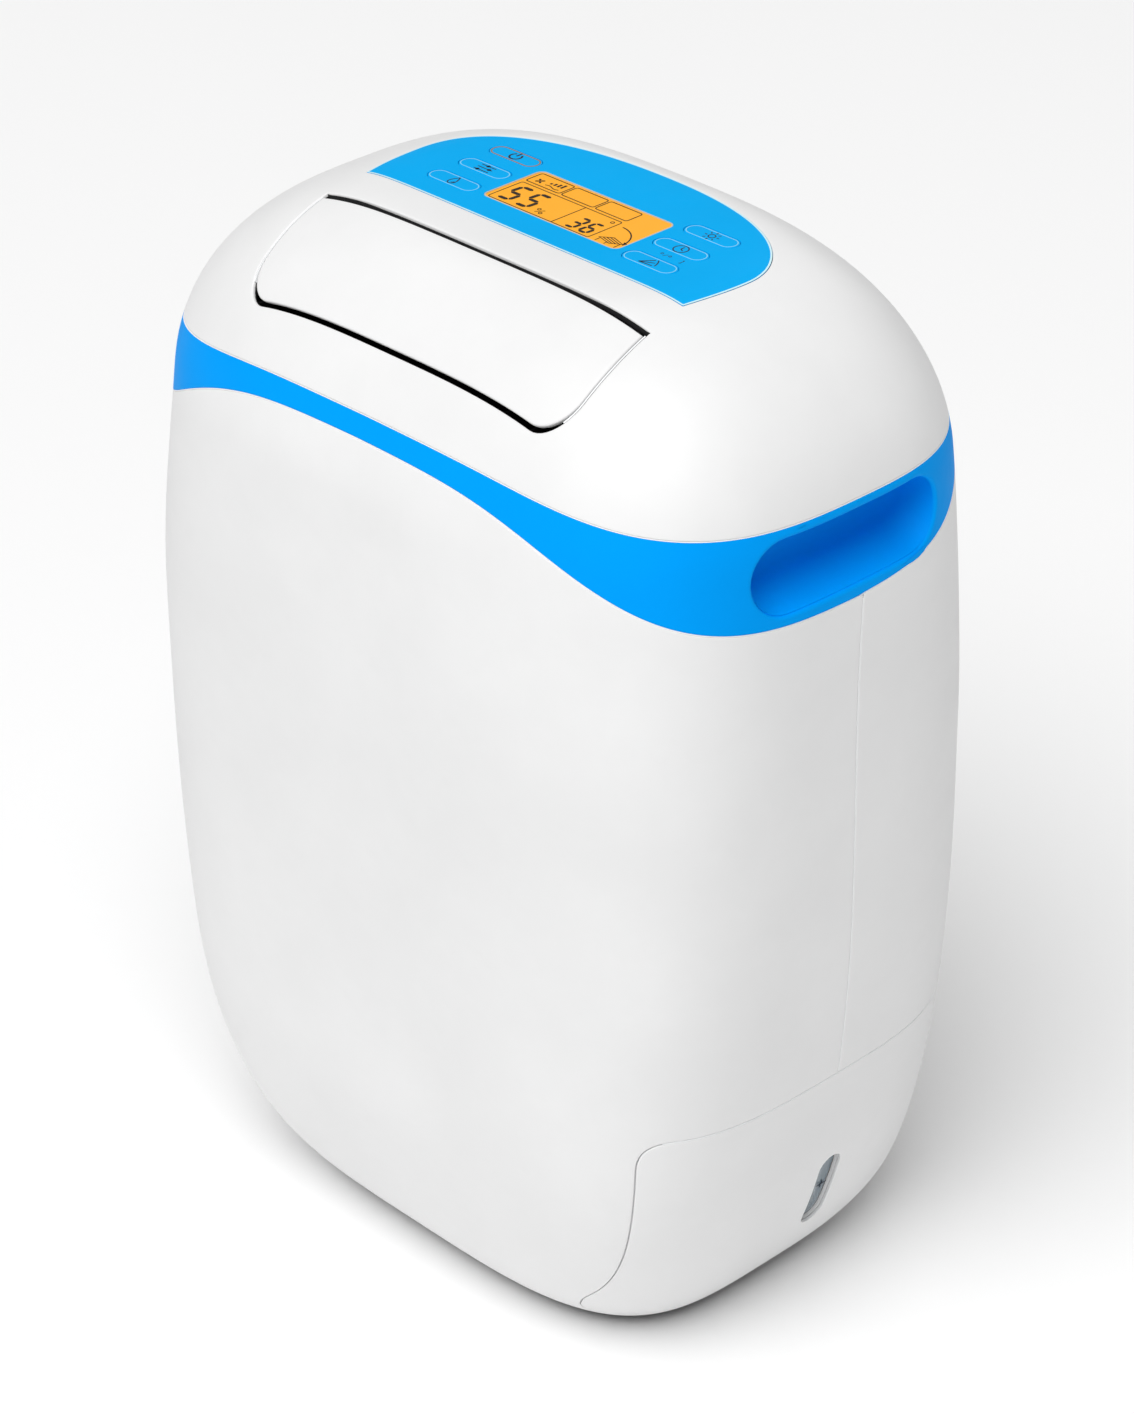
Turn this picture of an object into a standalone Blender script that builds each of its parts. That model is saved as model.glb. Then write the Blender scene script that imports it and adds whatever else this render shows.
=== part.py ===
"""Compressor dehumidifier with a side-drawn water tank, a louvre flap and a control panel on top.

Frame: metres, +Z up, the front faces -Y, +X is the right side. The origin is on the floor,
under the middle of the body.
"""

import math

import bmesh
import bpy
import numpy as np

# ---------------------------------------------------------------- driving dimensions
DOME_APEX = 0.480  # height that the body's upper curve runs to before it is flattened
TOP_LEVEL = 0.4738  # level of the flat top, the height of the object
TOP_BLEND = 0.0012  # how softly the crown runs into the flat top
WAIST = 0.240  # height where the body is widest
HALF_WIDTH = 0.1722
HALF_DEPTH = 0.1212
WALL = 0.0025  # moulded shells
TOP_WALL = 0.0030
SEAM = 0.0006  # gap between two shells
TANK_SEAM = 0.0010  # gap round the tank's cover, which slides
GAP = 0.0003  # gap between pieces that touch
BODY_BOTTOM = 0.0043  # lowest point of the shells, on top of the feet

# handles: stadium recesses in the band, one on each side
HANDLE_Y = -0.0025
HANDLE_Z = 0.3875
HANDLE_LENGTH = 0.104
HANDLE_HEIGHT = 0.0330
HANDLE_DEPTH = 0.026
HANDLE_WALL = 0.0018
HANDLE_LIP = 0.0004

# tank compartment on the right, under its roof
TANK_SEAM_Z = 0.1345
TANK_FLOOR_Z = 0.0168
TANK_CORNER = 0.012
TANK_FOOT_CORNER = 0.006
SEAM_ANGLE = math.radians(33.9)  # polar angle of the cover's front and rear seams
SEAM_FLARE = math.radians(7.6)  # how far the seams run out at the foot
SEAM_BEND_Z = 0.030
SEAM_FADE = 0.0215  # the flare's fall-off with height
SEAM_BEND = 0.0025
SEAM_ROWS = (0.027, 0.031, 0.036, 0.044, 0.056, 0.074, 0.098)  # heights that both covers share along it
BAY_WALL_X = -0.019
BAY_ROOF_Z = 0.1370
BAY_PLATE = 0.0020
TANK_LEFT = -0.006
TANK_RIM_Z = 0.1280
TANK_WALL = 0.0018
SLOT_Y = 0.0085  # the gauge slot in the tank's cover
SLOT_Z = (0.040, 0.082)
SLOT_HALF = 0.0065
SPOUT = (0.060, 0.062)  # where the drip tray empties into the tank, across and along
FLOAT_HINGE = (0.0060, 0.0, 0.1130)

# outlet flap on top, in front
FLAP_REAR_Y = -0.0432
FLAP_FRONT_Y = -0.0896
FLAP_HALF_REAR = 0.0940
FLAP_HALF_FRONT = 0.0925
FLAP_CORNER = 0.014
FLAP_WALL = 0.0024
OPENING_SIDE = 0.0011
OPENING_REAR = 0.0034
OPENING_FRONT = 0.0016
HINGE_Y = -0.0452
HINGE_Z = 0.4676
HINGE_PIN = 0.0013
LUG_X = 0.0400
LUG_HALF = 0.0025

# control panel
PANEL_HALF = 0.0962
PANEL_MIDDLE = 0.0125  # where it is widest
PANEL_ARCH = 0.0495
PANEL_POWER = 2.2
PANEL_TAPER = 0.122
PANEL_FRONT = -0.0200
PANEL_FLOOR = 0.4720
PANEL_TOP = 0.4736
LCD_HALF = 0.0396
LCD_Y = (-0.0048, 0.0301)
LCD_CORNER = 0.004
BUTTON_X = 0.0575
BUTTON_ROWS = (0.0320, 0.0144, -0.0030)
BUTTON_HALF = 0.0140
BUTTON_WIDE = 0.0098
BUTTON_BOTTOM = 0.4650

# intake grille and filter at the rear
GRILLE_HALF = 0.1080
GRILLE_Z = (0.1680, 0.3720)
GRILLE_SLATS = 11
FILTER_Y = 0.1000
GLAND_PLACE = (-0.045, 0.056)  # across and up on the rear
DRAIN_PLACE = (-0.045, 0.148)

# fan
FAN_X = 0.008
FAN_Z = 0.283
FAN_Y = (-0.0820, -0.0260)
WHEEL_RADIUS = 0.0720
OUTLET_Z = 0.3915

# refrigeration
COIL_X = (-0.095, 0.108)
COIL_Z = (0.168, 0.388)
EVAPORATOR_Y = 0.081
CONDENSER_Y = 0.053
COIL_DEPTH = 0.022
COIL_PASSES = 6
TUBE_RADIUS = 0.0038
COMPRESSOR = (-0.072, -0.020)
COMPRESSOR_RADIUS = 0.048

WHITE = (0.83, 0.84, 0.85)
BLUE = (0.01, 0.29, 0.86)
CYAN = (0.02, 0.36, 0.78)
DARK = (0.03, 0.03, 0.035)
STEEL = (0.55, 0.56, 0.57)
COPPER = (0.72, 0.35, 0.18)
ALUMINIUM = (0.75, 0.76, 0.78)
BOARD = (0.03, 0.25, 0.10)


# ---------------------------------------------------------------- the body's outer surface
def flank(z, widest, foot, low_end, low_power, high_start, high_power, high_root):
    """A half size at height z: it swells from the foot to low_end and draws in from high_start."""
    low = max(1.0 - z / low_end, 0.0)
    size = foot + (widest - foot) * (1.0 - low**low_power) ** (1.0 / low_power)
    high = min(max((z - high_start) / (DOME_APEX - high_start), 0.0), 1.0)
    return size * (1.0 - high**high_power) ** (1.0 / high_root)


def ease(t):
    """0 to 1 with a smooth start and end."""
    t = min(max(t, 0.0), 1.0)
    return t * t * (3.0 - 2.0 * t)


def section(z):
    """Half width, front and rear half depth, their corner powers, and the section's centre in Y."""
    below = max(WAIST - z, 0.0) / WAIST
    above = max(z - WAIST, 0.0) / WAIST
    widest = HALF_WIDTH * (1.0 - 0.023 * below**2 - 0.026 * above**2)
    side = flank(z, widest, 0.0996, 0.2394, 2.26, 0.3966, 2.00, 3.11)
    front = flank(z, HALF_DEPTH, 0.0639, 0.1200, 2.02, 0.3890, 1.82, 2.58)
    rear = flank(z, HALF_DEPTH, 0.0698, 0.0363, 2.02, 0.2724, 2.22, 3.53)
    crown = ease((z - 0.28) / 0.13)
    centre = 0.0094 * ease((z - 0.30) / (DOME_APEX - 0.30))
    return side, front, rear, 3.67 - 0.52 * crown, 3.14 - 0.26 * crown, centre


def flatten(z):
    """The height of a point once the dome is levelled at TOP_LEVEL."""
    return TOP_LEVEL - TOP_BLEND * math.log1p(math.exp((TOP_LEVEL - z) / TOP_BLEND))


def body_point(angle, z):
    """The body's surface at a polar angle, 0 at +X and -90 degrees at the front."""
    side, front, rear, n_front, n_rear, centre = section(z)
    c = math.cos(angle)
    s = math.sin(angle)
    depth, n = (front, n_front) if s < 0 else (rear, n_rear)
    radius = ((abs(c) / side) ** n + (abs(s) / depth) ** n) ** (-1.0 / n)
    return np.array((radius * c, radius * s + centre, flatten(z)))


def body_normal(angle, z):
    step = 1e-3
    low = max(z - 2e-4, 0.0)
    high = min(z + 2e-4, DOME_APEX - 2e-4)
    if high <= low:
        return np.array((0.0, 0.0, 1.0))
    along = body_point(angle + step, z) - body_point(angle - step, z)
    up = body_point(angle, high) - body_point(angle, low)
    normal = np.cross(along, up)
    return normal / np.linalg.norm(normal)


def skin(angle, z, depth):
    """A point this deep under the surface."""
    return body_point(angle, z) - body_normal(angle, z) * depth


def inside(x, y, z):
    side, front, rear, n_front, n_rear, centre = section(z)
    depth, n = (front, n_front) if y < centre else (rear, n_rear)
    return (abs(x) / side) ** n + (abs(y - centre) / depth) ** n < 1.0


def crown_height(x, y):
    """The height of the surface over a point of the plan."""
    low = 0.25
    high = DOME_APEX - 1e-6
    for _ in range(34):
        middle = (low + high) / 2
        if inside(x, y, middle):
            low = middle
        else:
            high = middle
    return flatten(low)


def crown_normal(x, y):
    step = 5e-4
    slope_x = (crown_height(x + step, y) - crown_height(x - step, y)) / (2 * step)
    slope_y = (crown_height(x, y + step) - crown_height(x, y - step)) / (2 * step)
    normal = np.array((-slope_x, -slope_y, 1.0))
    return normal / np.linalg.norm(normal)


def rear_y(x, z, inset=0.0):
    """Where the rear face, or a face this far inside it, lies at a place across and up."""
    side, _, rear, _, n, centre = section(z)
    return centre + (rear - inset) * (1.0 - (abs(x) / (side - inset)) ** n) ** (1.0 / n)


def front_y(x, z, inset=0.0):
    side, front, _, n, _, centre = section(z)
    return centre - (front - inset) * (1.0 - (abs(x) / (side - inset)) ** n) ** (1.0 / n)


def side_x(y, z):
    """Where the right-hand face lies at a place along and up."""
    side, front, rear, n_front, n_rear, centre = section(z)
    depth, n = (front, n_front) if y < centre else (rear, n_rear)
    return side * (1.0 - (abs(y - centre) / depth) ** n) ** (1.0 / n)


def around(count):
    """Polar angles from -180 to 180 degrees, closer together where the plan turns."""
    dense = np.linspace(-math.pi, math.pi, 1441)
    points = np.array([body_point(a, WAIST)[:2] for a in dense])
    steps = np.diff(points, axis=0)
    length = np.linalg.norm(steps, axis=1)
    heading = np.unwrap(np.arctan2(steps[:, 1], steps[:, 0]))
    turn = np.abs(np.diff(heading, append=heading[-1]))
    weight = length / length.sum() + 1.3 * turn / (2 * math.pi)
    travelled = np.concatenate(([0.0], np.cumsum(weight)))
    marks = np.linspace(0.0, travelled[-1], count + 1)
    return np.interp(marks, travelled, dense)


def band_low_curve(angle):
    """Lower edge of the coloured band: level at the front and rear, deeper at the sides."""
    turn = abs(math.degrees(math.atan2(math.sin(angle), abs(math.cos(angle)))))
    middle, width = (41.0, 16.0) if math.sin(angle) < 0 else (27.5, 13.3)
    return 0.3650 + 0.0485 * (0.5 + 0.5 * math.tanh((turn - middle) / width))


def band_high_curve(angle):
    turn = abs(math.degrees(math.atan2(math.sin(angle), abs(math.cos(angle)))))
    return 0.4080 + 0.0144 * (0.5 + 0.5 * math.tanh((turn - 44.2) / 16.5))


RING = around(42)


def straight_edge(angle, curve):
    """A curved edge's height as both shells that meet there have it, straight between the ring's columns."""
    k = int(np.clip(np.searchsorted(RING, angle, side="right") - 1, 0, len(RING) - 2))
    start = body_point(RING[k], curve(RING[k]))
    step = body_point(RING[k + 1], curve(RING[k + 1])) - start
    centre = section(start[2])[5]
    ray = np.array((math.cos(angle), math.sin(angle)))
    across = (start[0] * ray[1] - (start[1] - centre) * ray[0]) / (step[1] * ray[0] - step[0] * ray[1])
    return float(start[2] + step[2] * min(max(across, 0.0), 1.0))


def band_low(angle):
    return straight_edge(angle, band_low_curve)


def band_high(angle):
    return straight_edge(angle, band_high_curve)


def seam_angle(z):
    """Polar angle of the tank cover's upright seams, which flare out at the foot."""
    above = SEAM_BEND * math.log1p(math.exp((z - SEAM_BEND_Z) / SEAM_BEND))
    return SEAM_ANGLE + SEAM_FLARE * math.exp(-above / SEAM_FADE)


# ---------------------------------------------------------------- mesh helpers
def clear():
    for old in list(bpy.data.objects):
        bpy.data.objects.remove(old, do_unlink=True)


def material(name, colour, roughness, metallic=0.0, alpha=1.0):
    made = bpy.data.materials.new(name)
    made.use_nodes = True
    shader = made.node_tree.nodes["Principled BSDF"]
    shader.inputs["Base Color"].default_value = (*colour, 1.0)
    shader.inputs["Roughness"].default_value = roughness
    shader.inputs["Metallic"].default_value = metallic
    shader.inputs["Alpha"].default_value = alpha
    return made


def new_object(name, points, faces, finish=None, origin=(0.0, 0.0, 0.0)):
    """An object from points and faces, with its origin at the place given."""
    mesh = bpy.data.meshes.new(name)
    shift = np.array(origin)
    mesh.from_pydata([tuple(np.asarray(p) - shift) for p in points], [], faces)
    mesh.update()
    made = bpy.data.objects.new(name, mesh)
    made.location = origin
    bpy.context.scene.collection.objects.link(made)
    tidy_mesh(mesh)
    mesh.shade_smooth()
    mesh.set_sharp_from_angle(angle=math.radians(32))
    if finish:
        mesh.materials.append(material(name, *finish))
    return made


def tidy_mesh(mesh):
    """Doubled points merged and the faces turned outwards."""
    work = bmesh.new()
    work.from_mesh(mesh)
    bmesh.ops.remove_doubles(work, verts=work.verts, dist=2e-6)
    bmesh.ops.recalc_face_normals(work, faces=work.faces)
    work.to_mesh(mesh)
    work.free()


def cutter(name, points, faces):
    """A helper solid for a Boolean, left out of the model."""
    made = new_object(name, points, faces)
    made.hide_render = True
    made.display_type = "WIRE"
    return made


def boolean(target, other, operation):
    step = target.modifiers.new(f"{operation.lower()}_{other.name}", "BOOLEAN")
    step.operation = operation
    step.solver = "EXACT"
    step.object = other
    return target


def thicken(outer, inner, faces):
    """A closed solid between two matching sheets: points, and faces with the rims closed."""
    count = len(outer)
    solid = [tuple(face) for face in faces]
    solid += [tuple(count + i for i in reversed(face)) for face in faces]
    edges = {}
    for face in faces:
        for a, b in zip(face, (*face[1:], face[0])):
            edges[(a, b)] = True
    for a, b in edges:
        if (b, a) not in edges:
            solid.append((b, a, count + a, count + b))
    return list(outer) + list(inner), solid


def grid_faces(rows, columns, closed=False, keep=None):
    """Faces of a grid of points stored row by row, round a ring if closed."""
    faces = []
    for i in range(rows - 1):
        for j in range(columns if closed else columns - 1):
            if keep is None or keep(i, j):
                k = (j + 1) % columns
                faces.append((i * columns + j, i * columns + k, (i + 1) * columns + k, (i + 1) * columns + j))
    return faces


def cells(xs, ys, zs, filled, place=None):
    """Boundary of the filled cells of a grid; place bends the grid's points into shape."""
    points = []
    index = {}
    faces = []

    def corner(i, j, k):
        if (i, j, k) not in index:
            index[(i, j, k)] = len(points)
            here = (xs[i], ys[j], zs[k])
            points.append(place(*here) if place else here)
        return index[(i, j, k)]

    def full(i, j, k):
        held = 0 <= i < len(xs) - 1 and 0 <= j < len(ys) - 1 and 0 <= k < len(zs) - 1
        return held and filled(i, j, k)

    sides = (
        ((-1, 0, 0), ((0, 0, 0), (0, 0, 1), (0, 1, 1), (0, 1, 0))),
        ((1, 0, 0), ((1, 0, 0), (1, 1, 0), (1, 1, 1), (1, 0, 1))),
        ((0, -1, 0), ((0, 0, 0), (1, 0, 0), (1, 0, 1), (0, 0, 1))),
        ((0, 1, 0), ((0, 1, 0), (0, 1, 1), (1, 1, 1), (1, 1, 0))),
        ((0, 0, -1), ((0, 0, 0), (0, 1, 0), (1, 1, 0), (1, 0, 0))),
        ((0, 0, 1), ((0, 0, 1), (1, 0, 1), (1, 1, 1), (0, 1, 1))),
    )
    for i in range(len(xs) - 1):
        for j in range(len(ys) - 1):
            for k in range(len(zs) - 1):
                if not full(i, j, k):
                    continue
                for (di, dj, dk), ring in sides:
                    if not full(i + di, j + dj, k + dk):
                        faces.append(tuple(corner(i + a, j + b, k + c) for a, b, c in ring))
    return points, faces


def box_mesh(low, high):
    return cells((low[0], high[0]), (low[1], high[1]), (low[2], high[2]), lambda i, j, k: True)


def box(name, low, high, finish, edge=0.0, origin=(0.0, 0.0, 0.0)):
    """A block with its edges rounded off."""
    made = new_object(name, *box_mesh(low, high), finish, origin)
    if edge:
        step = made.modifiers.new("edges", "BEVEL")
        step.width = edge
        step.segments = 2
    return made


def prism(outline, low, high, axis="Z"):
    """An outline drawn straight up from low to high; in X-Z it runs along Y."""
    count = len(outline)
    if axis == "Z":
        points = [(u, v, low) for u, v in outline] + [(u, v, high) for u, v in outline]
    else:
        points = [(u, low, v) for u, v in outline] + [(u, high, v) for u, v in outline]
    faces = [tuple(range(count - 1, -1, -1)), tuple(range(count, 2 * count))]
    for i in range(count):
        j = (i + 1) % count
        faces.append((i, j, count + j, count + i))
    return points, faces


def lathe(profile, centre, axis="Z", steps=20):
    """A turned solid: profile is (radius, distance along the axis) from one end to the other."""
    points = []
    rings = []
    for radius, along in profile:
        ring = []
        for i in range(1 if radius == 0 else steps):
            turn = 2 * math.pi * i / steps
            u = radius * math.cos(turn)
            v = radius * math.sin(turn)
            ring.append(len(points))
            offset = (u, v, along) if axis == "Z" else ((u, along, v) if axis == "Y" else (along, u, v))
            points.append(tuple(c + o for c, o in zip(centre, offset)))
        rings.append(ring)
    faces = []
    loops = list(zip(rings, rings[1:]))
    if len(rings[0]) > 1:
        loops.append((rings[-1], rings[0]))
    for a, b in loops:
        for i in range(steps):
            j = (i + 1) % steps
            face = (a[i % len(a)], a[j % len(a)], b[j % len(b)], b[i % len(b)])
            corners = tuple(dict.fromkeys(face))
            if len(corners) > 2:
                faces.append(corners)
    return points, faces


def rounded_rectangle(low, high, corner, steps=3):
    """Outline of a rectangle with round corners, anticlockwise."""
    outline = []
    centres = (
        (high[0] - corner, high[1] - corner, 0.0),
        (low[0] + corner, high[1] - corner, 0.5),
        (low[0] + corner, low[1] + corner, 1.0),
        (high[0] - corner, low[1] + corner, 1.5),
    )
    for x, y, start in centres:
        for i in range(steps + 1):
            turn = (start + 0.5 * i / steps) * math.pi
            outline.append((x + corner * math.cos(turn), y + corner * math.sin(turn)))
    return outline


def stadium(centre_u, centre_v, half_length, half_height, steps=8):
    """Outline with two straight sides and two round ends."""
    outline = []
    for end in (1, -1):
        for i in range(steps + 1):
            turn = (-0.5 + i / steps) * math.pi + (0.0 if end > 0 else math.pi)
            outline.append(
                (
                    centre_u + end * (half_length - half_height) + half_height * math.cos(turn),
                    centre_v + half_height * math.sin(turn),
                )
            )
    return outline


def bent_path(corners, radius, steps=4):
    """The points of a line with its corners rounded to a bend radius."""
    path = [np.array(corners[0], float)]
    for before, here, after in zip(corners, corners[1:], corners[2:]):
        before, here, after = (np.array(p, float) for p in (before, here, after))
        back = (before - here) / np.linalg.norm(before - here)
        ahead = (after - here) / np.linalg.norm(after - here)
        half = math.acos(max(-1.0, min(1.0, float(back @ ahead)))) / 2
        reach = radius / math.tan(half)
        middle = (back + ahead) / np.linalg.norm(back + ahead)
        centre = here + middle * radius / math.sin(half)
        start = here + back * reach - centre
        end = here + ahead * reach - centre
        span = math.acos(max(-1.0, min(1.0, float(start @ end) / radius**2)))
        for i in range(steps + 1):
            t = i / steps
            turned = math.sin((1 - t) * span) * start + math.sin(t * span) * end
            path.append(centre + turned / math.sin(span))
    path.append(np.array(corners[-1], float))
    return path


def tube(name, path, radius, finish, sides=8):
    """A round bar along a path."""
    points = []
    reference = None
    for i, here in enumerate(path):
        ahead = path[min(i + 1, len(path) - 1)] - path[max(i - 1, 0)]
        ahead = ahead / np.linalg.norm(ahead)
        if reference is None:
            reference = np.cross(ahead, (0.31, 0.52, 0.79))
        reference = reference - ahead * (reference @ ahead)
        reference = reference / np.linalg.norm(reference)
        other = np.cross(ahead, reference)
        for k in range(sides):
            turn = 2 * math.pi * k / sides
            points.append(here + radius * (math.cos(turn) * reference + math.sin(turn) * other))
    faces = grid_faces(len(path), sides, closed=True)
    faces.append(tuple(range(sides - 1, -1, -1)))
    last = (len(path) - 1) * sides
    faces.append(tuple(last + k for k in range(sides)))
    return new_object(name, points, faces, finish)


# ---------------------------------------------------------------- shells
def half_cover(name, start, end, tank_side_first, finish):
    """One half of the lower casing, with the tank's compartment cut out of its right-hand end.

    start and end are the polar angles of the half; the tank is at the end nearest +X.
    """
    sign = 1.0 if tank_side_first else -1.0
    corner_z = TANK_SEAM_Z - TANK_CORNER
    foot_z = TANK_FLOOR_Z - TANK_SEAM + TANK_FOOT_CORNER

    def edge_angle(z):
        return sign * (seam_angle(min(z, corner_z)) + TANK_SEAM / 2 / 0.172)

    columns = [a for a in RING if start + 1e-3 < a < end - 1e-3]
    seam_mark = sign * SEAM_ANGLE
    main = [a for a in columns if abs(a) > SEAM_ANGLE + 0.02]
    main = sorted([start, end], key=abs)[1:] + sorted(main, key=lambda a: -abs(a)) + [seam_mark]
    side_end = sorted([start, end], key=abs)[0]
    rounding = (0.004, 0.016, 0.037, 0.068)
    strip = [sign * (SEAM_ANGLE - r) for r in rounding]
    strip += sorted((a for a in columns if abs(a) < SEAM_ANGLE - 0.10), key=lambda a: -abs(a))
    strip.append(side_end)

    low_rows = [BODY_BOTTOM, 0.0090, TANK_FLOOR_Z - TANK_SEAM]
    foot_count = len(low_rows)
    low_rows += [foot_z, *SEAM_ROWS, corner_z]
    high_count = 5
    points = []
    inner = []
    index = {}
    faces = []

    def vertex(key, angle, z):
        if key not in index:
            index[key] = len(points)
            points.append(body_point(angle, z))
            inner.append(skin(angle, z, WALL))
        return index[key]

    def drop(angle):
        """How far below the roof seam the rounded corner lies at this angle."""
        across = (abs(seam_mark) - abs(angle)) * 0.175
        across = min(max(across, 0.0), TANK_CORNER)
        return TANK_CORNER - math.sqrt(TANK_CORNER**2 - (TANK_CORNER - across) ** 2)

    def low_vertex(i, j):
        t = j / (len(main) - 1)
        z = low_rows[i]
        shift = (edge_angle(z) - seam_mark) * t**6
        angle = main[j] + (shift if 0 < j else 0.0)
        return vertex(("low", i, j), angle, z)

    def high_vertex(i, j):
        if i == 0 and j < len(main):
            return low_vertex(len(low_rows) - 1, j)
        angle = main[j] if j < len(main) else strip[j - len(main)]
        if j < len(main):
            bottom = corner_z
            if j == len(main) - 1:
                angle = edge_angle(corner_z)
        else:
            bottom = TANK_SEAM_Z + TANK_SEAM / 2 - drop(angle)
        t = i / high_count
        top = band_low(angle) - SEAM / 2
        return vertex(("high", i, j), angle, bottom + (top - bottom) * t)

    def foot_vertex(i, j):
        if j == 0:
            return low_vertex(i, len(main) - 1)
        angle = strip[j - 1]
        if j == 1:
            angle = edge_angle(low_rows[i]) * 0.92
        return vertex(("foot", i, j), angle, low_rows[i])

    def add(a, b, c, d):
        faces.append((a, b, c, d) if sign < 0 else (d, c, b, a))

    for i in range(len(low_rows) - 1):
        for j in range(len(main) - 1):
            add(low_vertex(i, j), low_vertex(i, j + 1), low_vertex(i + 1, j + 1), low_vertex(i + 1, j))
    for i in range(high_count):
        for j in range(len(main) + len(strip) - 1):
            add(high_vertex(i, j), high_vertex(i, j + 1), high_vertex(i + 1, j + 1), high_vertex(i + 1, j))
    for i in range(foot_count - 1):
        for j in range(len(strip)):
            add(foot_vertex(i, j), foot_vertex(i, j + 1), foot_vertex(i + 1, j + 1), foot_vertex(i + 1, j))
    return new_object(name, *thicken(points, inner, faces), finish)


def tank_cover():
    """The white outer wall that slides out with the tank."""
    columns = 16
    low = TANK_FLOOR_Z
    high = TANK_SEAM_Z - TANK_SEAM / 2
    corner_z = TANK_SEAM_Z - TANK_CORNER
    rows = [low + TANK_FOOT_CORNER * t for t in (0.0, 0.2, 0.55, 1.0)] + [*SEAM_ROWS, corner_z]
    rows += [corner_z + (high - corner_z) * t for t in (0.5, 0.85, 1.0)]
    points = []
    inner = []
    for z in rows:
        reach = seam_angle(min(z, corner_z))
        over = max(z - corner_z, 0.0)
        reach -= (TANK_CORNER - math.sqrt(TANK_CORNER**2 - min(over, TANK_CORNER * 0.999) ** 2)) / 0.175
        under = min(max(low + TANK_FOOT_CORNER - z, 0.0), TANK_FOOT_CORNER * 0.98)
        reach -= (TANK_FOOT_CORNER - math.sqrt(TANK_FOOT_CORNER**2 - under**2)) / 0.150
        reach -= TANK_SEAM / 2 / 0.172
        for j in range(columns + 1):
            angle = reach * (2 * j / columns - 1)
            points.append(body_point(angle, z))
            inner.append(skin(angle, z, WALL))
    faces = grid_faces(len(rows), columns + 1)
    made = new_object("tank_cover", *thicken(points, inner, faces), (WHITE, 0.38))
    return boolean(made, slot_cutter("tank_cover_slot", 0.0), "DIFFERENCE")


def slot_outline(margin):
    """The upright gauge slot, in Y and Z."""
    half = SLOT_HALF - margin
    middle = (SLOT_Z[0] + SLOT_Z[1]) / 2
    reach = (SLOT_Z[1] - SLOT_Z[0]) / 2 - margin
    return [(SLOT_Y - v, middle + u) for u, v in stadium(0.0, 0.0, reach, half, steps=5)]


def slot_cutter(name, margin):
    outline = slot_outline(margin)
    count = len(outline)
    points = [(0.12, y, z) for y, z in outline] + [(0.18, y, z) for y, z in outline]
    faces = [tuple(range(count)), tuple(range(2 * count - 1, count - 1, -1))]
    for i in range(count):
        j = (i + 1) % count
        faces.append((i, count + i, count + j, j))
    return cutter(name, points, faces)


def tank_window():
    """The clear gauge strip in the slot."""
    outline = slot_outline(GAP)
    count = len(outline)

    def wall(y, z, depth):
        angle = math.atan2(y, section(z)[0])
        for _ in range(6):
            here = body_point(angle, z)
            angle = math.atan2(y, here[0])
        return tuple(skin(angle, z, depth) * (1, 0, 0) + np.array((0, y, z)))

    points = [wall(y, z, 0.0006) for y, z in outline] + [wall(y, z, 0.0022) for y, z in outline]
    centre_y = SLOT_Y
    for depth in (0.0006, 0.0022):
        for z in (SLOT_Z[0] + 0.010, sum(SLOT_Z) / 2, SLOT_Z[1] - 0.010):
            points.append(wall(centre_y, z, depth))
    faces = []
    front = (2 * count + 2, 2 * count + 1, 2 * count)
    back = (2 * count + 5, 2 * count + 4, 2 * count + 3)
    spine = [0] * count
    for i in range(count):
        z = outline[i][1]
        spine[i] = 0 if z > SLOT_Z[1] - 0.0125 else (2 if z < SLOT_Z[0] + 0.0125 else 1)
    for i in range(count):
        j = (i + 1) % count
        for ring, hub, flip in ((0, front, False), (count, back, True)):
            a, b = ring + i, ring + j
            face = [a, b, hub[spine[j]]]
            if spine[i] != spine[j]:
                face = [a, b, hub[spine[j]], hub[spine[i]]]
            faces.append(tuple(reversed(face)) if flip else tuple(face))
        faces.append((i, count + i, count + j, j))
    return new_object("tank_window", points, faces, ((0.25, 0.33, 0.40), 0.15, 0.0, 0.6))


def scoop_rings(margin, extra):
    """Rings of the recess from its lip inwards: it narrows and rises as it goes in."""
    plane = HALF_WIDTH * 0.99
    rings = ((None, 0.0, 1.0), (0.010, 0.001, 0.985), (0.018, 0.004, 0.95), (HANDLE_DEPTH, 0.008, 0.86))
    points = []
    for depth, rise, scale in rings:
        half_height = HANDLE_HEIGHT / 2 * scale + margin
        reach = HANDLE_LENGTH / 2 * scale + margin
        for y, z in stadium(HANDLE_Y, HANDLE_Z + rise, reach, half_height, steps=6):
            x = side_x(y, z) + HANDLE_LIP if depth is None else plane - depth - (extra if depth == HANDLE_DEPTH else 0)
            points.append(np.array((x, y, z)))
    return points


def handle_helpers(side):
    """The opening cut through the band and the cup that fills it, on one side of the body."""
    outline = stadium(HANDLE_Y, HANDLE_Z, HANDLE_LENGTH / 2 + HANDLE_WALL / 2, (HANDLE_HEIGHT + HANDLE_WALL) / 2, 6)
    count = len(outline)
    hole_points = [(x, y, z) for x in (0.155, 0.180) for y, z in outline]
    hole_faces = [tuple(range(count)), tuple(range(2 * count - 1, count - 1, -1))]
    hole_faces += [(i, count + i, count + (i + 1) % count, (i + 1) % count) for i in range(count)]
    faces = grid_faces(4, count, closed=True)
    faces.append(tuple(3 * count + k for k in range(count)))
    cup_points, cup_faces = thicken(scoop_rings(0.0, 0.0), scoop_rings(HANDLE_WALL, HANDLE_WALL), faces)
    sign = -1.0 if side == "left" else 1.0
    hole = cutter(f"handle_hole_{side}", [(sign * x, y, z) for x, y, z in hole_points], hole_faces)
    cup = cutter(f"handle_cup_{side}", [(sign * x, y, z) for x, y, z in cup_points], cup_faces)
    return hole, cup


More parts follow.
